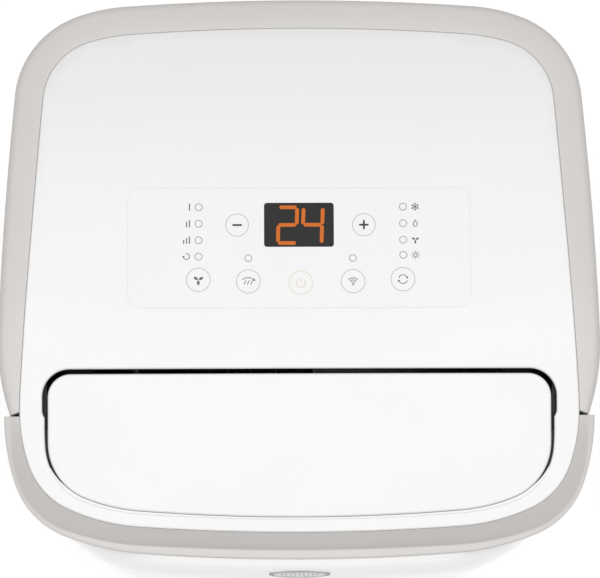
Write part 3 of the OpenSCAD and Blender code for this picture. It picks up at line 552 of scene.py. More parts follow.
FLAP_SKIRT, FLAP_WALL = 7, 2.5
FLAP_HINGE_Y, FLAP_HINGE_Z, EAR_BORE_R = -92, 694, 3.05
EAR_X, EAR_R, EAR_THICK, EAR_TOP_Z = 172, 8, 3, 708.5
inner = grow(FLAP, -FLAP_WALL)
skin = Skin()
skin.strip([*edge_rows(FLAP, FLAP_EDGE, -1), roof(FLAP, -FLAP_SKIRT), roof(inner, -FLAP_SKIRT),
            roof(inner, -WALL)])
skin.sheet(grow(FLAP, -FLAP_EDGE), [], roof, ROOF_STEP)
skin.sheet(inner, [], lambda p: roof(p, -WALL), ROOF_STEP)
ear = np.vstack([arc((FLAP_HINGE_Y, FLAP_HINGE_Z), EAR_R, 180, 360, 16),
                 [[FLAP_HINGE_Y + EAR_R, EAR_TOP_Z], [FLAP_HINGE_Y - EAR_R, EAR_TOP_Z]]])
for side in (-1, 1):
    skin.plate(ear, [ring(FLAP_HINGE_Y, FLAP_HINGE_Z, EAR_BORE_R)],
               facing_x(side * EAR_X - EAR_THICK / 2, 1), EAR_THICK, 0.4)
skin.build("outlet_flap", MATERIALS["gloss_white"], "flap", "gloss_white", "air_flap")

# the seam round the flap's front half closes on a lip, which fades out towards the sides
SEAM_Y, SEAM_GAP, SEAM_FADE = -126.0, 0.24, 16
LIP_TOP, LIP_FOOT = -0.4, -1.6
front_half = [k for k in range(len(OPENING)) if OPENING[k, 1] < SEAM_Y]
first = next(k for k in front_half if (k - 1) % len(OPENING) not in front_half)
order = [(first + k) % len(OPENING) for k in range(len(front_half))]
outer_line = OPENING[order]
outward = normals(OPENING, True)[order]
flap_side = grow(FLAP, SEAM_GAP)
steps = np.arange(0, 4, 0.02)
reach = []
for point, way in zip(outer_line, outward):
    hit = inside(point - steps[:, None] * way, flap_side)
    reach.append(steps[np.argmax(hit)] if hit.any() else 0.1)
fade = np.clip((SEAM_Y - outer_line[:, 1]) / SEAM_FADE, 0.02, 1)
inner_line = outer_line - outward * (np.array(reach) * fade)[:, None]
back_line = outer_line + outward * 0.5
skin = Skin()
starts = skin.strip([roof(back_line, LIP_TOP), roof(inner_line, LIP_TOP), roof(inner_line, LIP_FOOT),
                     roof(back_line, LIP_FOOT)], closed=False, around=True)
skin.close_ends(starts, len(order))
skin.build("seam_lip", MATERIALS["gloss_white"], "cabinet", "gloss_white")

# ---------- trim bands ----------

BAND_GAP, BAND_DROP = 0.15, 0.75
LEDGE_Z, LEDGE_RISE = 686, 25.5
LEDGE_W, LEDGE_SWELL, LEDGE_HALF_W = 2.7, 3.7, 195
# how a band's ends are rounded off, from the body to the tip: (drawn in, pushed out)
END_STEPS = ((0.25, 0.35), (0.8, 0.5))


def across(outer, inner_loop):
    """Where each point's inward normal first meets the inner loop."""
    n = -normals(outer, False)
    n = n / np.linalg.norm(n, axis=1)[:, None]
    a, b = inner_loop, np.roll(inner_loop, -1, 0)
    e = b - a
    out = []
    for p, d in zip(outer, n):
        det = e[:, 0] * d[1] - e[:, 1] * d[0]
        det = np.where(np.abs(det) < 1e-9, 1e-9, det)
        w = a - p
        t = (e[:, 0] * w[:, 1] - e[:, 1] * w[:, 0]) / det
        s = (d[0] * w[:, 1] - d[1] * w[:, 0]) / det
        t = np.where((s >= -1e-6) & (s <= 1 + 1e-6) & (t > 0.5), t, 1e9)
        out.append(p + d * t.min())
    return np.array(out)


def band(outer, section):
    """A band along the outer line. section(width, outer, inner) gives its outline and corner radii."""
    rows = []
    for o, i in zip(outer, across(outer, grow(COVER, BAND_GAP))):
        width = np.linalg.norm(i - o)
        line = rounded(*section(width, o, i))
        flat = o + (i - o) * (line[:, :1] / width)
        rows.append(np.column_stack([flat, line[:, 1]]))
    ends = []
    for row, after in ((rows[0], rows[1]), (rows[-1], rows[-2])):
        push = (row - after).mean(0)
        push = push / np.linalg.norm(push)
        inward = row.mean(0) - row
        inward = inward / np.maximum(np.linalg.norm(inward, axis=1)[:, None], 1e-9)
        ends.append([row + inward * drawn + push * pushed for drawn, pushed in END_STEPS])
    rows = [*ends[0][::-1], *rows, *ends[1]]
    body = Skin()
    starts = body.strip(rows)
    body.cap(starts[0], len(rows[0]))
    body.cap(starts[-1], len(rows[0]))
    return body


def band_top(inner):
    return roof(np.array([inner]))[0][2] - BAND_DROP


def rear_section(width, outer, inner):
    """A top that falls a little to a broad round on the outer edge."""
    top = band_top(inner)
    points = [(width, BAND_Z), (width, top), (0, top - 0.11 * width), (0, BAND_Z)]
    return points, [0.3, 0.6, min(5.0, width * 0.5), 0.8]


def front_section(width, outer, inner):
    """A steep inner wall over a ledge, which rises to the rear band's height at the sides."""
    top, foot = band_top(inner), BAND_Z + 0.3
    run = min(1.0, max(0.0, (SPLIT_Y - outer[1]) / (FRONT_PLAN[2] + SPLIT_Y)))
    lip = LEDGE_Z + LEDGE_RISE * (1 - run) ** 1.25
    ledge = LEDGE_W + LEDGE_SWELL * (1 - min(1.0, abs(outer[0]) / LEDGE_HALF_W) ** 3)
    ledge = ledge + (0.5 * width - ledge) * max(0.0, 1 - run * 3.2) ** 1.3
    points = [(width, foot), (width, top), (ledge, lip), (0, lip - 0.35), (0, foot)]
    return points, [0.3, 0.6, 1.1, 1.3, 0.6]


half = even(rear_curve(0, SPLIT_Y + 1.2), 3, False)
line = np.vstack([half, flip_x(half)[1:]])
band(line, rear_section).build("rear_band", MATERIALS["trim"], "cabinet", "trim", "rear_trim_band")
half = even(front_curve(SPLIT_Y - 0.3), 3, False)
line = np.vstack([flip_x(half), half[1:]])
band(line, front_section).build("front_band", MATERIALS["trim"], "cabinet", "trim", "front_trim_band")

# ---------- front shell ----------

SHOULDER_H, SHOULDER_BACK = 40.0, 14.0


def panel_line(inset, back):
    """The front shell's line from left to right, drawn in by inset, with its front moved back."""
    half_line = flip_y(quarter(PANEL_PLAN, inset, back))
    half_line = np.vstack([half_line[:-1:2], half_line[-1:]])
    return np.vstack([flip_x(half_line), half_line[1:]])


rows = [level(panel_line(b, 0), SKIN_Z + d) for b, d in ((WALL, 0), (0.8, 0), (0.2, 0.2), (0, 0.8))]
rows += [level(panel_line(0, 0), z) for z in np.linspace(150, PANEL_TOP_Z - SHOULDER_H - 10, 8)]
for inset in (0, WALL):
    shoulder = [level(panel_line(inset, SHOULDER_BACK * (1 - math.cos(a))),
                      PANEL_TOP_Z - SHOULDER_H * (1 - math.sin(a)))
                for a in (math.radians(t) for t in range(0, 91, 9))]
    rows += shoulder[::-1] if inset else shoulder
skin = Skin()
starts = skin.strip(rows, closed=False, around=True)
skin.close_ends(starts, len(rows[0]))
# the front shell gets the lighter copy of the roof's white, as painted light
skin.build("front_shell", MATERIALS["shell_white_painted_light"], "cabinet", "gloss_white", "front_panel")

# ---------- side shells ----------

RETURN_X, TURN_R = 150.0, 3.2
side = rear_curve(4, SPLIT_Y + 0.4)
side = side[(side[:, 1] < 0) | (side[:, 0] > RETURN_X + 1.35 * TURN_R)]
way = normals(side, False)[-1]
turn_start = math.degrees(math.atan2(way[1], way[0]))
turn = arc((RETURN_X + TURN_R, side[-1][1] - TURN_R * way[1]), TURN_R, turn_start, 180, 10)
SIDE = even(np.vstack([side, turn[1:], [[RETURN_X, REAR_FACE_Y - 3]]]), 1.0, False)
SIDE_RUN = np.concatenate([[0], np.cumsum(np.linalg.norm(np.diff(SIDE, axis=0), axis=1))])
SIDE_N = normals(SIDE, False)
SIDE_OUT = round_rect(0.2, SKIN_Z, SIDE_RUN[-1], BAND_Z - 0.3, 1.2, 3, 1)
SIDE_EDGE, SIDE_STEP = 0.8, (1.0, 26)

GRAB_X, GRAB_Y, GRAB_HALF = 205, 20, 51.5
GRAB_FOOT_Z, GRAB_TOP_Z = 540, 583
GRAB_RIM, GRAB_FLOOR_R, GRAB_DEPTH, GRAB_WALL = 2.5, 4, 30, 2
grab_run = SIDE_RUN[np.argmin(np.hypot(SIDE[:, 0] - GRAB_X, SIDE[:, 1] - GRAB_Y))]
GRAB = round_rect(grab_run - GRAB_HALF, GRAB_FOOT_Z, grab_run + GRAB_HALF, GRAB_TOP_Z, 13, 8, 3)


def on_side(p, depth, mirror):
    """Points from (distance along the side outline, height), depth under the skin; mirror -1 is the left."""
    at = [np.interp(p[:, 0], SIDE_RUN, SIDE[:, k]) for k in (0, 1)]
    out = [np.interp(p[:, 0], SIDE_RUN, SIDE_N[:, k]) for k in (0, 1)]
    return np.column_stack([mirror * (at[0] - out[0] * depth), at[1] - out[1] * depth, p[:, 1]])


def side_shell(name, mirror):
    """A side panel wrapped round its outline, with the grab recess sunk into it."""
    mouth, back = grow(GRAB, GRAB_RIM), grow(GRAB, -1)
    cup = round_off(GRAB_RIM, 6) + [(-d, GRAB_DEPTH - b) for b, d in round_off(GRAB_FLOOR_R, 5)]
    skin = Skin()
    skin.strip([on_side(grow(SIDE_OUT, -b), d, mirror) for b, d in round_off(SIDE_EDGE, 3)]
               + [on_side(SIDE_OUT, WALL, mirror)])
    skin.sheet(grow(SIDE_OUT, -SIDE_EDGE), [mouth], lambda p: on_side(p, 0, mirror), SIDE_STEP)
    skin.sheet(SIDE_OUT, [mouth], lambda p: on_side(p, WALL, mirror), SIDE_STEP)
    skin.strip([on_side(grow(GRAB, b), d, mirror) for b, d in cup])
    skin.sheet(grow(GRAB, -GRAB_FLOOR_R), [], lambda p: on_side(p, GRAB_DEPTH, mirror), (8, 8))
    skin.strip([on_side(mouth, WALL, mirror), on_side(mouth, GRAB_DEPTH - GRAB_WALL, mirror),
                on_side(back, GRAB_DEPTH + GRAB_WALL, mirror)])
    skin.sheet(back, [], lambda p: on_side(p, GRAB_DEPTH + GRAB_WALL, mirror), (8, 8))
    # the side shells get the lighter copy of the roof's white, as painted light
    skin.build(f"{name}_shell", MATERIALS["shell_white_painted_light"], "cabinet", "gloss_white", f"{name}_side_panel")


side_shell("left", -1)
side_shell("right", 1)

# ---------- base ----------

CASTORS = {"front_left": (-152, -118), "front_right": (152, -118),
           "rear_left": (-152, 138), "rear_right": (152, 138)}
BASE_Z, BASE_R, BASE_TOP_Z = 58, 4, 100
BASE_FLOOR_Z = BASE_Z + WALL
LOWER_DRAIN = (120, 0, 74)


def base_loop(inset):
    nose = flip_y(quarter(PANEL_PLAN, 2 + inset))[::3]
    nose = np.vstack([nose, quarter(PANEL_PLAN, 2 + inset)[:1] * (1, -1)])
    tail = rear_curve(6 + inset, SPLIT_Y + 0.2 + inset * 0.2)
    return whole(tidy(np.vstack([nose, tail[::2], tail[-1:]])))


skin = Skin()
rim = ((0, BASE_TOP_Z - 0.8), (0.3, BASE_TOP_Z - 0.2), (0.9, BASE_TOP_Z),
       (WALL, BASE_TOP_Z), (WALL, BASE_FLOOR_Z))
skin.strip([level(base_loop(b), BASE_Z + d) for b, d in round_off(BASE_R, 6)]
           + [level(base_loop(b), z) for b, z in rim])
stems = [ring(x, y, 4.2, 24) for x, y in CASTORS.values()]
skin.sheet(base_loop(BASE_R), stems, lambda p: level(p, BASE_Z), (30, 30))
skin.sheet(base_loop(WALL), stems, lambda p: level(p, BASE_FLOOR_Z), (30, 30))
for stem in stems:
    skin.strip([level(stem, BASE_Z), level(stem, BASE_FLOOR_Z)])
boss = [(6, 165), (6, 201.6), (6.4, 202), (9.6, 202), (10, 201.6), (10, 165)]
skin.lathe(boss, LOWER_DRAIN, "y", 48)
skin.build("base_moulding", MATERIALS["trim"], "cabinet", "trim", "base_pan")

# ---------- rear panels ----------

REAR_HALF_W, REAR_JOIN_Z = 149.7, 369
COLLAR_X, COLLAR_Z = -72, 290
GLAND_X, GLAND_Z = -110, 130
UPPER_DRAIN_X, UPPER_DRAIN_Z = -100, 382
SCREW_X, LOWER_SCREW_Z, UPPER_SCREW_Z = 143, (110, 240, 350), (380, 520, 656)
HOOK_X0, HOOK_X1, HOOK_Z, HOOK_SPREAD = -149.5, -144.5, 240, 70
HINGE_Y, HINGE_Z, PIN_R, KNUCKLE_L = 188.4, 405, 1.8, 4.2
# rectangles as left, bottom, right, top, seen from the front
INTAKE = (-130, 412, 130, 640)
DOOR, DOOR_OPENING = (-136, 404, 136, 648), (-124, 416, 124, 636)
FILTER, FILTER_OPENING = (-128, 414, 128, 638), (-122, 420, 122, 632)


def on_rear(y):
    """Places loops drawn as (x, z) in the plane at y, with depth running forward."""
    return lambda p, d: np.column_stack([p[:, 0], np.full(len(p), y, float) - d, p[:, 1]])


def screw_holes(heights):
    return [ring(s * SCREW_X, z, 2.1, 16) for s in (-1, 1) for z in heights]


skin = Skin()
slots = [round_rect(12, 128 + 9.5 * i, 140, 133 + 9.5 * i, 2.4, 5) for i in range(22)]
holes = [ring(COLLAR_X, COLLAR_Z, 69, 96), ring(GLAND_X, GLAND_Z, 9, 40), *slots, *screw_holes(LOWER_SCREW_Z)]
outline = round_rect(-REAR_HALF_W, SKIN_Z, REAR_HALF_W, REAR_JOIN_Z - 1, 1.5, 4)
skin.plate(outline, holes, on_rear(REAR_FACE_Y), WALL, 0.5)
for s in (-1, 1):
    z = HOOK_Z + s * HOOK_SPREAD
    skin.block((HOOK_X0, 184.5, z - 6), (HOOK_X1, 199, z + 6), 1.2, 3)
    skin.block((HOOK_X0, 195, z + 9 * s - 15), (HOOK_X1, 199, z + 9 * s + 15), 1.6, 3)
skin.build("rear_louvre_panel", MATERIALS["trim"], "cabinet", "trim", "rear_lower_panel")

skin = Skin()
holes = [round_rect(*INTAKE, 4, 6), ring(UPPER_DRAIN_X, UPPER_DRAIN_Z, 7.3, 32),
         *screw_holes(UPPER_SCREW_Z)]
outline = round_rect(-REAR_HALF_W, REAR_JOIN_Z + 1, REAR_HALF_W, BAND_Z - 0.3, 1.5, 4)
skin.plate(outline, holes, on_rear(REAR_FACE_Y), WALL, 0.5)
knuckle = round_rect(184.5, HINGE_Z - 4, 191.2, HINGE_Z + 4, 1.2, 4)
bore = ring(HINGE_Y, HINGE_Z, PIN_R + 0.1, 24)
for x in (-140.5, 136.3):
    skin.plate(knuckle, [bore], facing_x(x + KNUCKLE_L, -1), KNUCKLE_L, 0.3)
skin.build("rear_intake_frame", MATERIALS["trim"], "cabinet", "trim", "rear_upper_frame")

GRILLE_Y = REAR_FACE_Y + 0.4
NET_PITCH, THREAD_R = 3.2, 0.22
skin = Skin()
skin.plate(round_rect(*DOOR, 6, 8), [round_rect(*DOOR_OPENING, 3, 6)], on_rear(GRILLE_Y + 6), 6, 1.6, n=4)
for i in range(19):
    z = 420 + 11.2 * i
    skin.block((-124.6, GRILLE_Y + 1, z), (124.6, GRILLE_Y + 5, z + 4), 1.4, 3)
for x in (-42, 42):
    skin.block((x - 2, GRILLE_Y + 0.5, 415), (x + 2, GRILLE_Y + 4, 637), 0.8)
for x in (-139.5, 135):
    skin.lathe([(PIN_R, 0), (PIN_R, 4.5)], (x, HINGE_Y, HINGE_Z), "x", 24, around=False)
skin.build("intake_grille", MATERIALS["satin_white"], "filter_door", "satin_white", "filter_grille")

skin = Skin()
skin.plate(round_rect(*FILTER, 3, 6), [round_rect(*FILTER_OPENING, 2, 6)],
           on_rear(REAR_FACE_Y + 0.3), 2.9, 0.5)
for i in range(-38, 39):
    x = i * NET_PITCH
    skin.block((x - THREAD_R, 183.0, 418.5), (x + THREAD_R, 183.5, 633.5), 0.1, 1)
for i in range(67):
    z = 420.5 + i * NET_PITCH
    skin.block((-123.5, 183.2, z - THREAD_R), (123.5, 183.7, z + THREAD_R), 0.1, 1)
skin.build("intake_filter", MATERIALS["filter_net"], "filter_door", "filter_net", "filter_mesh")

# ---------- rear fittings, turned from profiles of (radius, distance along the axis) ----------

skin = Skin()
collar = [(66, 182.5), (66, 202), (66.4, 202.7), (67.4, 203), (68.4, 202.6), (68.7, 201.8), (68.7, 189),
          (69.2, 187.9), (70, 187.5), (72.2, 187.5), (72.8, 187.2), (73, 186.6), (73, 185.1), (68.7, 185.1),
          (68.7, 182.5)]
skin.lathe(collar, (COLLAR_X, 0, COLLAR_Z), "y", 128)
skin.build("hose_collar", MATERIALS["fan_grey"], "cabinet", "fan_grey", "exhaust_collar")

skin = Skin()
gland = [(4, 176), (4, 192.4), (4.5, 193), (7.4, 193), (8.0, 192.6), (8.4, 189.2), (8.8, 188.4), (11.4, 188),
         (12, 187.4), (12, 185.1), (8.8, 185.1), (8.8, 176)]
skin.lathe(gland, (GLAND_X, 0, GLAND_Z), "y", 48)
skin.build("lead_gland", MATERIALS["rubber"], "cabinet", "rubber", "cord_gland")

skin = Skin()
plug = [(0.02, 194.5), (7.05, 194.5), (7.05, 187), (10.4, 187), (11, 187.6), (11, 196.6), (10.6, 197.5),
        (9.6, 198), (0.02, 198)]
skin.lathe(plug, (UPPER_DRAIN_X, 0, UPPER_DRAIN_Z), "y", 48)
for k in range(18):
    a = math.radians(20 * k)
    rib = (UPPER_DRAIN_X + 11 * math.cos(a), 0, UPPER_DRAIN_Z + 11 * math.sin(a))
    skin.lathe([(0.6, 188.6), (0.6, 196), (0.3, 196.5)], rib, "y", 8, around=False)
skin.build("upper_drain_plug", MATERIALS["rubber"], "upper_cap", "rubber", "upper_drain_cap")

skin = Skin()
bung = [(0.02, 190), (5.5, 190), (5.95, 190.6), (5.95, 202.1), (8.6, 202.1), (9, 202.5), (9, 204.2),
        (8.4, 204.8), (3, 204.8), (2.4, 204.4), (0.02, 204.2)]
skin.lathe(bung, LOWER_DRAIN, "y", 48)
skin.build("lower_drain_plug", MATERIALS["rubber"], "lower_bung", "rubber", "lower_drain_bung")

# ---------- castors ----------

TRAIL, AXLE_Z, WHEEL_R = 16, 24, 24
half_tread = [(3.05, -8.6), (7, -8.6), (7, -6.6), (17.4, -6.6), (18, -8.4), (20.4, -9), (22.6, -8.4),
              (23.7, -6.6), (WHEEL_R, -4)]
TREAD = [*half_tread, (WHEEL_R, 0), *((r, -h) for r, h in half_tread[::-1])]
STEM = [(0.02, 50.5), (16.2, 50.5), (17, 51.2), (17, 53.2), (16.2, 54), (9, 54), (9, 57.2), (8.4, 57.8),
        (4, 57.8), (4, 81), (3, 82), (0.02, 82)]
LEG = np.vstack([arc((TRAIL, AXLE_Z), 10, 200, 350, 20), [[24, 36], [24, 52.5], [-2, 52.5], [-2, 44]]])
LEG_X, LEG_THICK = 13, 3


def roller(corner, x, y):
    """A wheel whose two faces each have a ring of six studs."""
    skin = Skin()
    skin.lathe(TREAD, (x, y + TRAIL, AXLE_Z), "x", 96)
    for k in range(6):
        a = math.radians(60 * k + 30)
        for s in (-1, 1):
            stud = (x, y + TRAIL + 12.2 * math.cos(a), AXLE_Z + 12.2 * math.sin(a))
            skin.lathe([(2.1, s * 6.0), (2.1, s * 7.2), (1.6, s * 7.6)], stud, "x", 16, around=False)
    skin.build(f"roller_{corner}", MATERIALS["wheel_dark"], f"wheel_{corner}", "wheel_dark",
               f"castor_wheel_{corner}")


def fork(corner, x, y):
    """Two legs, the turned stem above them and the bridge that joins them."""
    skin = Skin()
    bore = ring(y + TRAIL, AXLE_Z, 3.02, 24)
    for s in (-1, 1):
        skin.plate(LEG + (y, 0), [bore], facing_x(x + s * LEG_X, -s), LEG_THICK, 0.7)
    skin.lathe(STEM, (x, y, 0), "z", 64)
    skin.block((x - LEG_X, y + 4, 50.5), (x + LEG_X, y + 24, 54), 0.8)
    skin.build(f"fork_{corner}", MATERIALS["fan_grey"], f"yoke_{corner}", "fan_grey", f"castor_yoke_{corner}")


for corner, (x, y) in CASTORS.items():
    roller(corner, x, y)
    fork(corner, x, y)

# ---------- badge ----------

BADGE_Y, BADGE_Z, BADGE_TILT, BADGE_FACE = -HALF_D + 5.9, 666.5, math.radians(62), 2.3


def on_badge(p, depth):
    """Badge points: x across, y up the shoulder, depth under the face."""
    h = BADGE_FACE - depth
    c, s = math.cos(BADGE_TILT), math.sin(BADGE_TILT)
    return np.column_stack([p[:, 0], BADGE_Y + p[:, 1] * c - h * s, BADGE_Z + p[:, 1] * s + h * c])


def lens(a, b, n=72):
    """An oval with slender ends."""
    t = np.linspace(0, 2 * math.pi, n, endpoint=False)
    return np.column_stack([a * np.cos(t), b * np.sign(np.sin(t)) * np.abs(np.sin(t)) ** 1.3])


skin = Skin()
skin.plate(lens(21.4, 4.2), [lens(19.6, 3.3)], on_badge, 2.6, 0.2)
for i in range(-4, 5):
    bar_h = 2.6 - 0.1 * i * i
    skin.plate(stroke([(3.1 * i, -bar_h / 2), (3.1 * i, bar_h / 2)], 0.8), [], on_badge, 1.0, 0)
skin.build("oval_badge_rim", MATERIALS["badge"], "cabinet", "badge", "front_badge")
skin = Skin()
skin.plate(lens(19.9, 3.5), [], lambda p, d: on_badge(p, d + 0.5), 1.9, 0)
skin.build("oval_badge_field", MATERIALS["badge_field"], "cabinet", "badge")

# ---------- film and window ----------


def on_film(dz):
    """Places loops drawn on the film; depth runs down from dz above the film's face."""
    return lambda p, d: roof(film_plan(p), dz - d)


skin = Skin()
skin.plate(film_rect(0, 9), [window_rect(24.4, 15.75, 2.1)], on_film(-0.03), 0.4, 0, (7, 7), 2)
skin.build("touch_film", MATERIALS["film"], "cabinet", "film", "control_film")
skin = Skin()
skin.plate(window_rect(24.3, 15.65, 2.0), [], on_film(-0.06), 2.6, 0, (7, 7), 2)
skin.build("smoked_pane", MATERIALS["smoked_window"], "cabinet", "smoked_window", "display_window")

# ---------- print on the film ----------

PRINT_UP, PRINT_X = 0.012, 1.1
LINE, BOLD = 0.55, 1.4
KEYS = {"minus": (-44.3, 86.3), "plus": (44.3, 86.3), "fan": (-71.3, 47.3), "swing": (-36.5, 46.1),
        "power": (0, 45.2), "link": (36.5, 46.1), "mode": (71.3, 47.4)}
LEFT_X, LEFT_ICON_X, LEFT_ROWS = -71.2, -77.6, (99.1, 87.3, 75.5, 63.9)
RIGHT_X, RIGHT_ICON_X, RIGHT_ROWS = 71.7, 80.2, (99.1, 87.3, 75.5, 64.7)
LAMP_Y = 62.6
rings, signs, icons, sand, digits = Skin(), Skin(), Skin(), Skin(), Skin()


def ink(layer, loop, holes=(), at=(0, 0)):
    at = np.array(at, float) + (PRINT_X, 0)
    layer.plate(loop + at, [h + at for h in holes], on_film(PRINT_UP), 0.05, 0)


def hoop(layer, x, y, r, width, n=64):
    ink(layer, ring(x, y, r, n), [ring(x, y, r - width, n)])


def dash(layer, points, width, at):
    ink(layer, stroke(points, width), at=at)


def bars(n, x, y):
    """A row of n bars that rise to the right, for a fan speed."""
    for k in range(n):
        h = 2.2 + 1.15 * (3 - n + k)
        dash(icons, [(0, -2.2), (0, -2.2 + h)], 0.8, (x - 2.0 * (n - 1 - k), y))


def rotor(x, y, r):
    """Three fan blades."""
    t = np.linspace(0, 2 * math.pi, 20, endpoint=False)
    leaf = np.column_stack([r * (0.52 + 0.42 * np.cos(t)), r * 0.24 * np.sin(t)])
    for k in range(3):
        a = 2 * math.pi * k / 3 + 0.5
        c, s = math.cos(a), math.sin(a)
        ink(icons, leaf @ np.array([[c, s], [-s, c]]), at=(x, y))


def swirl(x, y, r, a0, a1):
    """An arc with an arrow head at its end."""
    path = arc((0, 0), r, a0, a1, 18)
    dash(icons, path, LINE, (x, y))
    tip, way = path[-1], path[-1] - path[-2]
    way = way / np.linalg.norm(way)
    left = np.array([-way[1], way[0]])
    ink(icons, np.array([tip + left, tip - left, tip + way * 1.5]), at=(x, y))


def snowflake(x, y):
    for k in range(3):
        a = math.radians(60 * k + 30)
        d = unit(a)
        dash(icons, [-2.7 * d, 2.7 * d], 0.52, (x, y))
        for s in (-1, 1):
            arrow = [s * (1.5 * d + 0.9 * unit(a + 0.9)), s * 1.5 * d, s * (1.5 * d + 0.9 * unit(a - 0.9))]
            dash(icons, arrow, 0.42, (x, y))


def water_drop(x, y):
    drop = np.vstack([arc((0, -0.55), 1.3, -205, 25, 24), [[0, 2.1]]]) * 1.35
    ink(icons, drop, [grow(drop, -LINE)], (x, y))


def sun(x, y):
    hoop(icons, x, y, 1.45, LINE, 28)
    for k in range(8):
        d = unit(math.radians(45 * k))
        dash(icons, [2.05 * d, 2.8 * d], 0.5, (x, y))


for key, (x, y) in KEYS.items():
    hoop(sand if key == "power" else rings, x, y, 8.15 if key in ("minus", "plus") else 8.5, 0.42)
for lamp_x, lamp_rows in ((LEFT_X, LEFT_ROWS), (RIGHT_X, RIGHT_ROWS)):
    for y in lamp_rows:
        hoop(rings, lamp_x, y, 2.8, 0.68, 40)
for key in ("swing", "link"):
    hoop(rings, KEYS[key][0], LAMP_Y, 2.7, 0.68, 40)
for key in ("minus", "plus"):
    dash(signs, [(-2.7, 0), (2.7, 0)], BOLD, KEYS[key])
dash(signs, [(0, -2.7), (0, -0.7)], BOLD, KEYS["plus"])
dash(signs, [(0, 0.7), (0, 2.7)], BOLD, KEYS["plus"])

for k in range(3):
    bars(k + 1, LEFT_ICON_X, LEFT_ROWS[k])
swirl(LEFT_ICON_X - 2, LEFT_ROWS[3], 2.1, 100, -160)
snowflake(RIGHT_ICON_X, RIGHT_ROWS[0])
water_drop(RIGHT_ICON_X, RIGHT_ROWS[1])
rotor(RIGHT_ICON_X, RIGHT_ROWS[2], 2.9)
sun(RIGHT_ICON_X, RIGHT_ROWS[3])
rotor(*KEYS["fan"], 4.0)
for k in (-1, 0, 1):
    dash(icons, [(k * 2.3 - 0.7, -2.0), (k * 2.3 + 0.7, 0.6)], LINE, KEYS["swing"])
swirl(KEYS["swing"][0], KEYS["swing"][1] - 3.2, 5.9, 132, 50)
for r in (1.7, 3.2, 4.7):
    dash(icons, arc((0, -2.3), r, 48, 132, 12), LINE, KEYS["link"])
ink(icons, ring(0, -2.3, 0.65, 14), at=KEYS["link"])
swirl(*KEYS["mode"], 3.1, 160, 30)
swirl(*KEYS["mode"], 3.1, -20, -150)
dash(sand, arc((0, -0.3), 3.1, 125, 415, 24), LINE, KEYS["power"])
dash(sand, [(0, 0.6), (0, 3.5)], LINE, KEYS["power"])

# the lit segments of a 2 and a 4, each a bar with round ends, from the window's centre
SEGMENT_W = 2.65
TWO = (((-13.4, 12.5), (-4.0, 12.5)), ((-2.35, 10.6), (-2.6, 1.5)), ((-14.2, -0.1), (-4.3, -0.1)),
       ((-15.55, -1.7), (-15.75, -11.1)), ((-14.4, -13), (-4.5, -13)))
FOUR = (((2.15, 10.6), (1.85, 1.6)), ((3.5, 0), (13.3, 0)), ((15.6, 10.6), (15.3, 1.6)),
        ((15.0, -1.6), (14.7, -11.6)))
for ends in (*TWO, *FOUR):
    digits.plate(stroke(ends, SEGMENT_W) + (PRINT_X, WINDOW_Y), [], on_film(-0.04), 0.1, 0)

rings.build("print_rings", MATERIALS["print_grey"], "cabinet", "film")
signs.build("print_signs", MATERIALS["print_dark"], "cabinet", "film")
icons.build("print_icons", MATERIALS["print_mid"], "cabinet", "film")
sand.build("print_power", MATERIALS["print_sand"], "cabinet", "film")
digits.build("display_digits", MATERIALS["led_amber"], "cabinet", "led_amber")
frame["nodes"]["display_module"].data.materials.clear()
frame["nodes"]["display_module"].data.materials.append(MATERIALS["led_housing"])

# ---------- studio, in metres ----------

FLOOR_SIZE, FLOOR_GLOW, WORLD_GLOW = 8, 0.32, 0.34
CAMERA_LENS, CAMERA_SENSOR, CAMERA_DISTANCE = 205.7, 36, 2.4
CAMERA_TARGET = Vector((0.00065, -0.0022, 0.705))
CAMERA_ELEVATION = math.radians(84)
CAMERA_LEAN, CAMERA_ROLL = math.radians(-0.4), math.radians(-0.2)


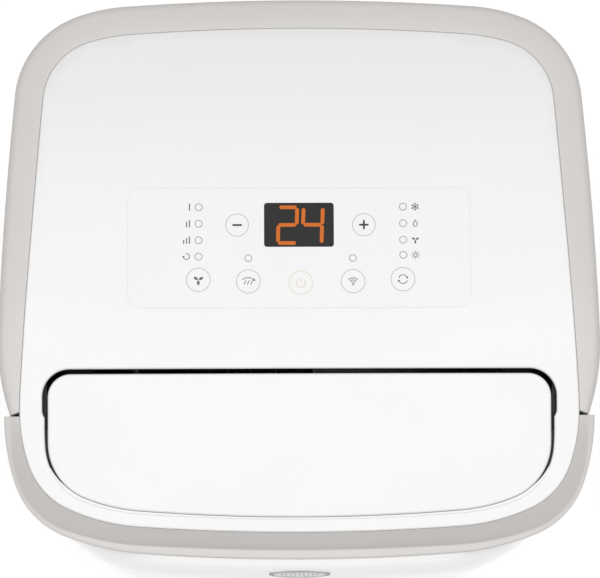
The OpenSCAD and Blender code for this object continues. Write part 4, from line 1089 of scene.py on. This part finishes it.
def floor_material():
    mat = bpy.data.materials.new("studio_floor")
    mat.use_nodes = True
    nodes, links = mat.node_tree.nodes, mat.node_tree.links
    shader = nodes["Principled BSDF"]
    shader.inputs["Roughness"].default_value = 0.9
    noise = nodes.new("ShaderNodeTexNoise")
    noise.inputs["Scale"].default_value = 3
    ramp = nodes.new("ShaderNodeValToRGB")
    ramp.color_ramp.elements[0].color = (0.90, 0.90, 0.90, 1)
    ramp.color_ramp.elements[1].color = (0.93, 0.93, 0.93, 1)
    links.new(noise.outputs["Fac"], ramp.inputs["Fac"])
    links.new(ramp.outputs["Color"], shader.inputs["Base Color"])
    shader.inputs["Emission Color"].default_value = (1, 1, 1, 1)
    shader.inputs["Emission Strength"].default_value = FLOOR_GLOW
    return mat


def softbox(name, at, aim, size, power):
    light = bpy.data.lights.new(name, "AREA")
    light.shape = "RECTANGLE"
    light.size, light.size_y = size
    light.energy = power
    obj = bpy.data.objects.new(name, light)
    obj.location = at
    obj.rotation_mode = "QUATERNION"
    obj.rotation_quaternion = (Vector(aim) - Vector(at)).to_track_quat("-Z", "Y")
    bpy.context.scene.collection.objects.link(obj)


mesh = bpy.data.meshes.new("floor")
bm = bmesh.new()
bmesh.ops.create_grid(bm, x_segments=8, y_segments=8, size=FLOOR_SIZE)
bm.to_mesh(mesh)
bm.free()
mesh.materials.append(floor_material())
floor = bpy.data.objects.new("floor", mesh)
bpy.context.scene.collection.objects.link(floor)

world = bpy.data.worlds.new("studio")
world.use_nodes = True
world.node_tree.nodes["Background"].inputs["Color"].default_value = (1, 1, 1, 1)
world.node_tree.nodes["Background"].inputs["Strength"].default_value = WORLD_GLOW
bpy.context.scene.world = world

softbox("overhead", (0, -0.25, 4.2), (0, 0, 0.6), (5.0, 3.2), 136)

camera = bpy.data.objects.new("camera", bpy.data.cameras.new("camera"))
camera.data.lens, camera.data.sensor_width = CAMERA_LENS, CAMERA_SENSOR
camera.data.clip_start, camera.data.clip_end = 0.05, 50
back = Vector((0, -math.cos(CAMERA_ELEVATION), math.sin(CAMERA_ELEVATION)))
lean = Quaternion((0, 1, 0), CAMERA_LEAN)
roll = Quaternion((0, 0, 1), CAMERA_ROLL)
camera.location = CAMERA_TARGET + lean @ back * CAMERA_DISTANCE
camera.rotation_mode = "QUATERNION"
camera.rotation_quaternion = lean @ (-back).to_track_quat("-Z", "Y") @ roll
bpy.context.scene.collection.objects.link(camera)
bpy.context.scene.camera = camera
bpy.context.scene.view_settings.view_transform = "Standard"
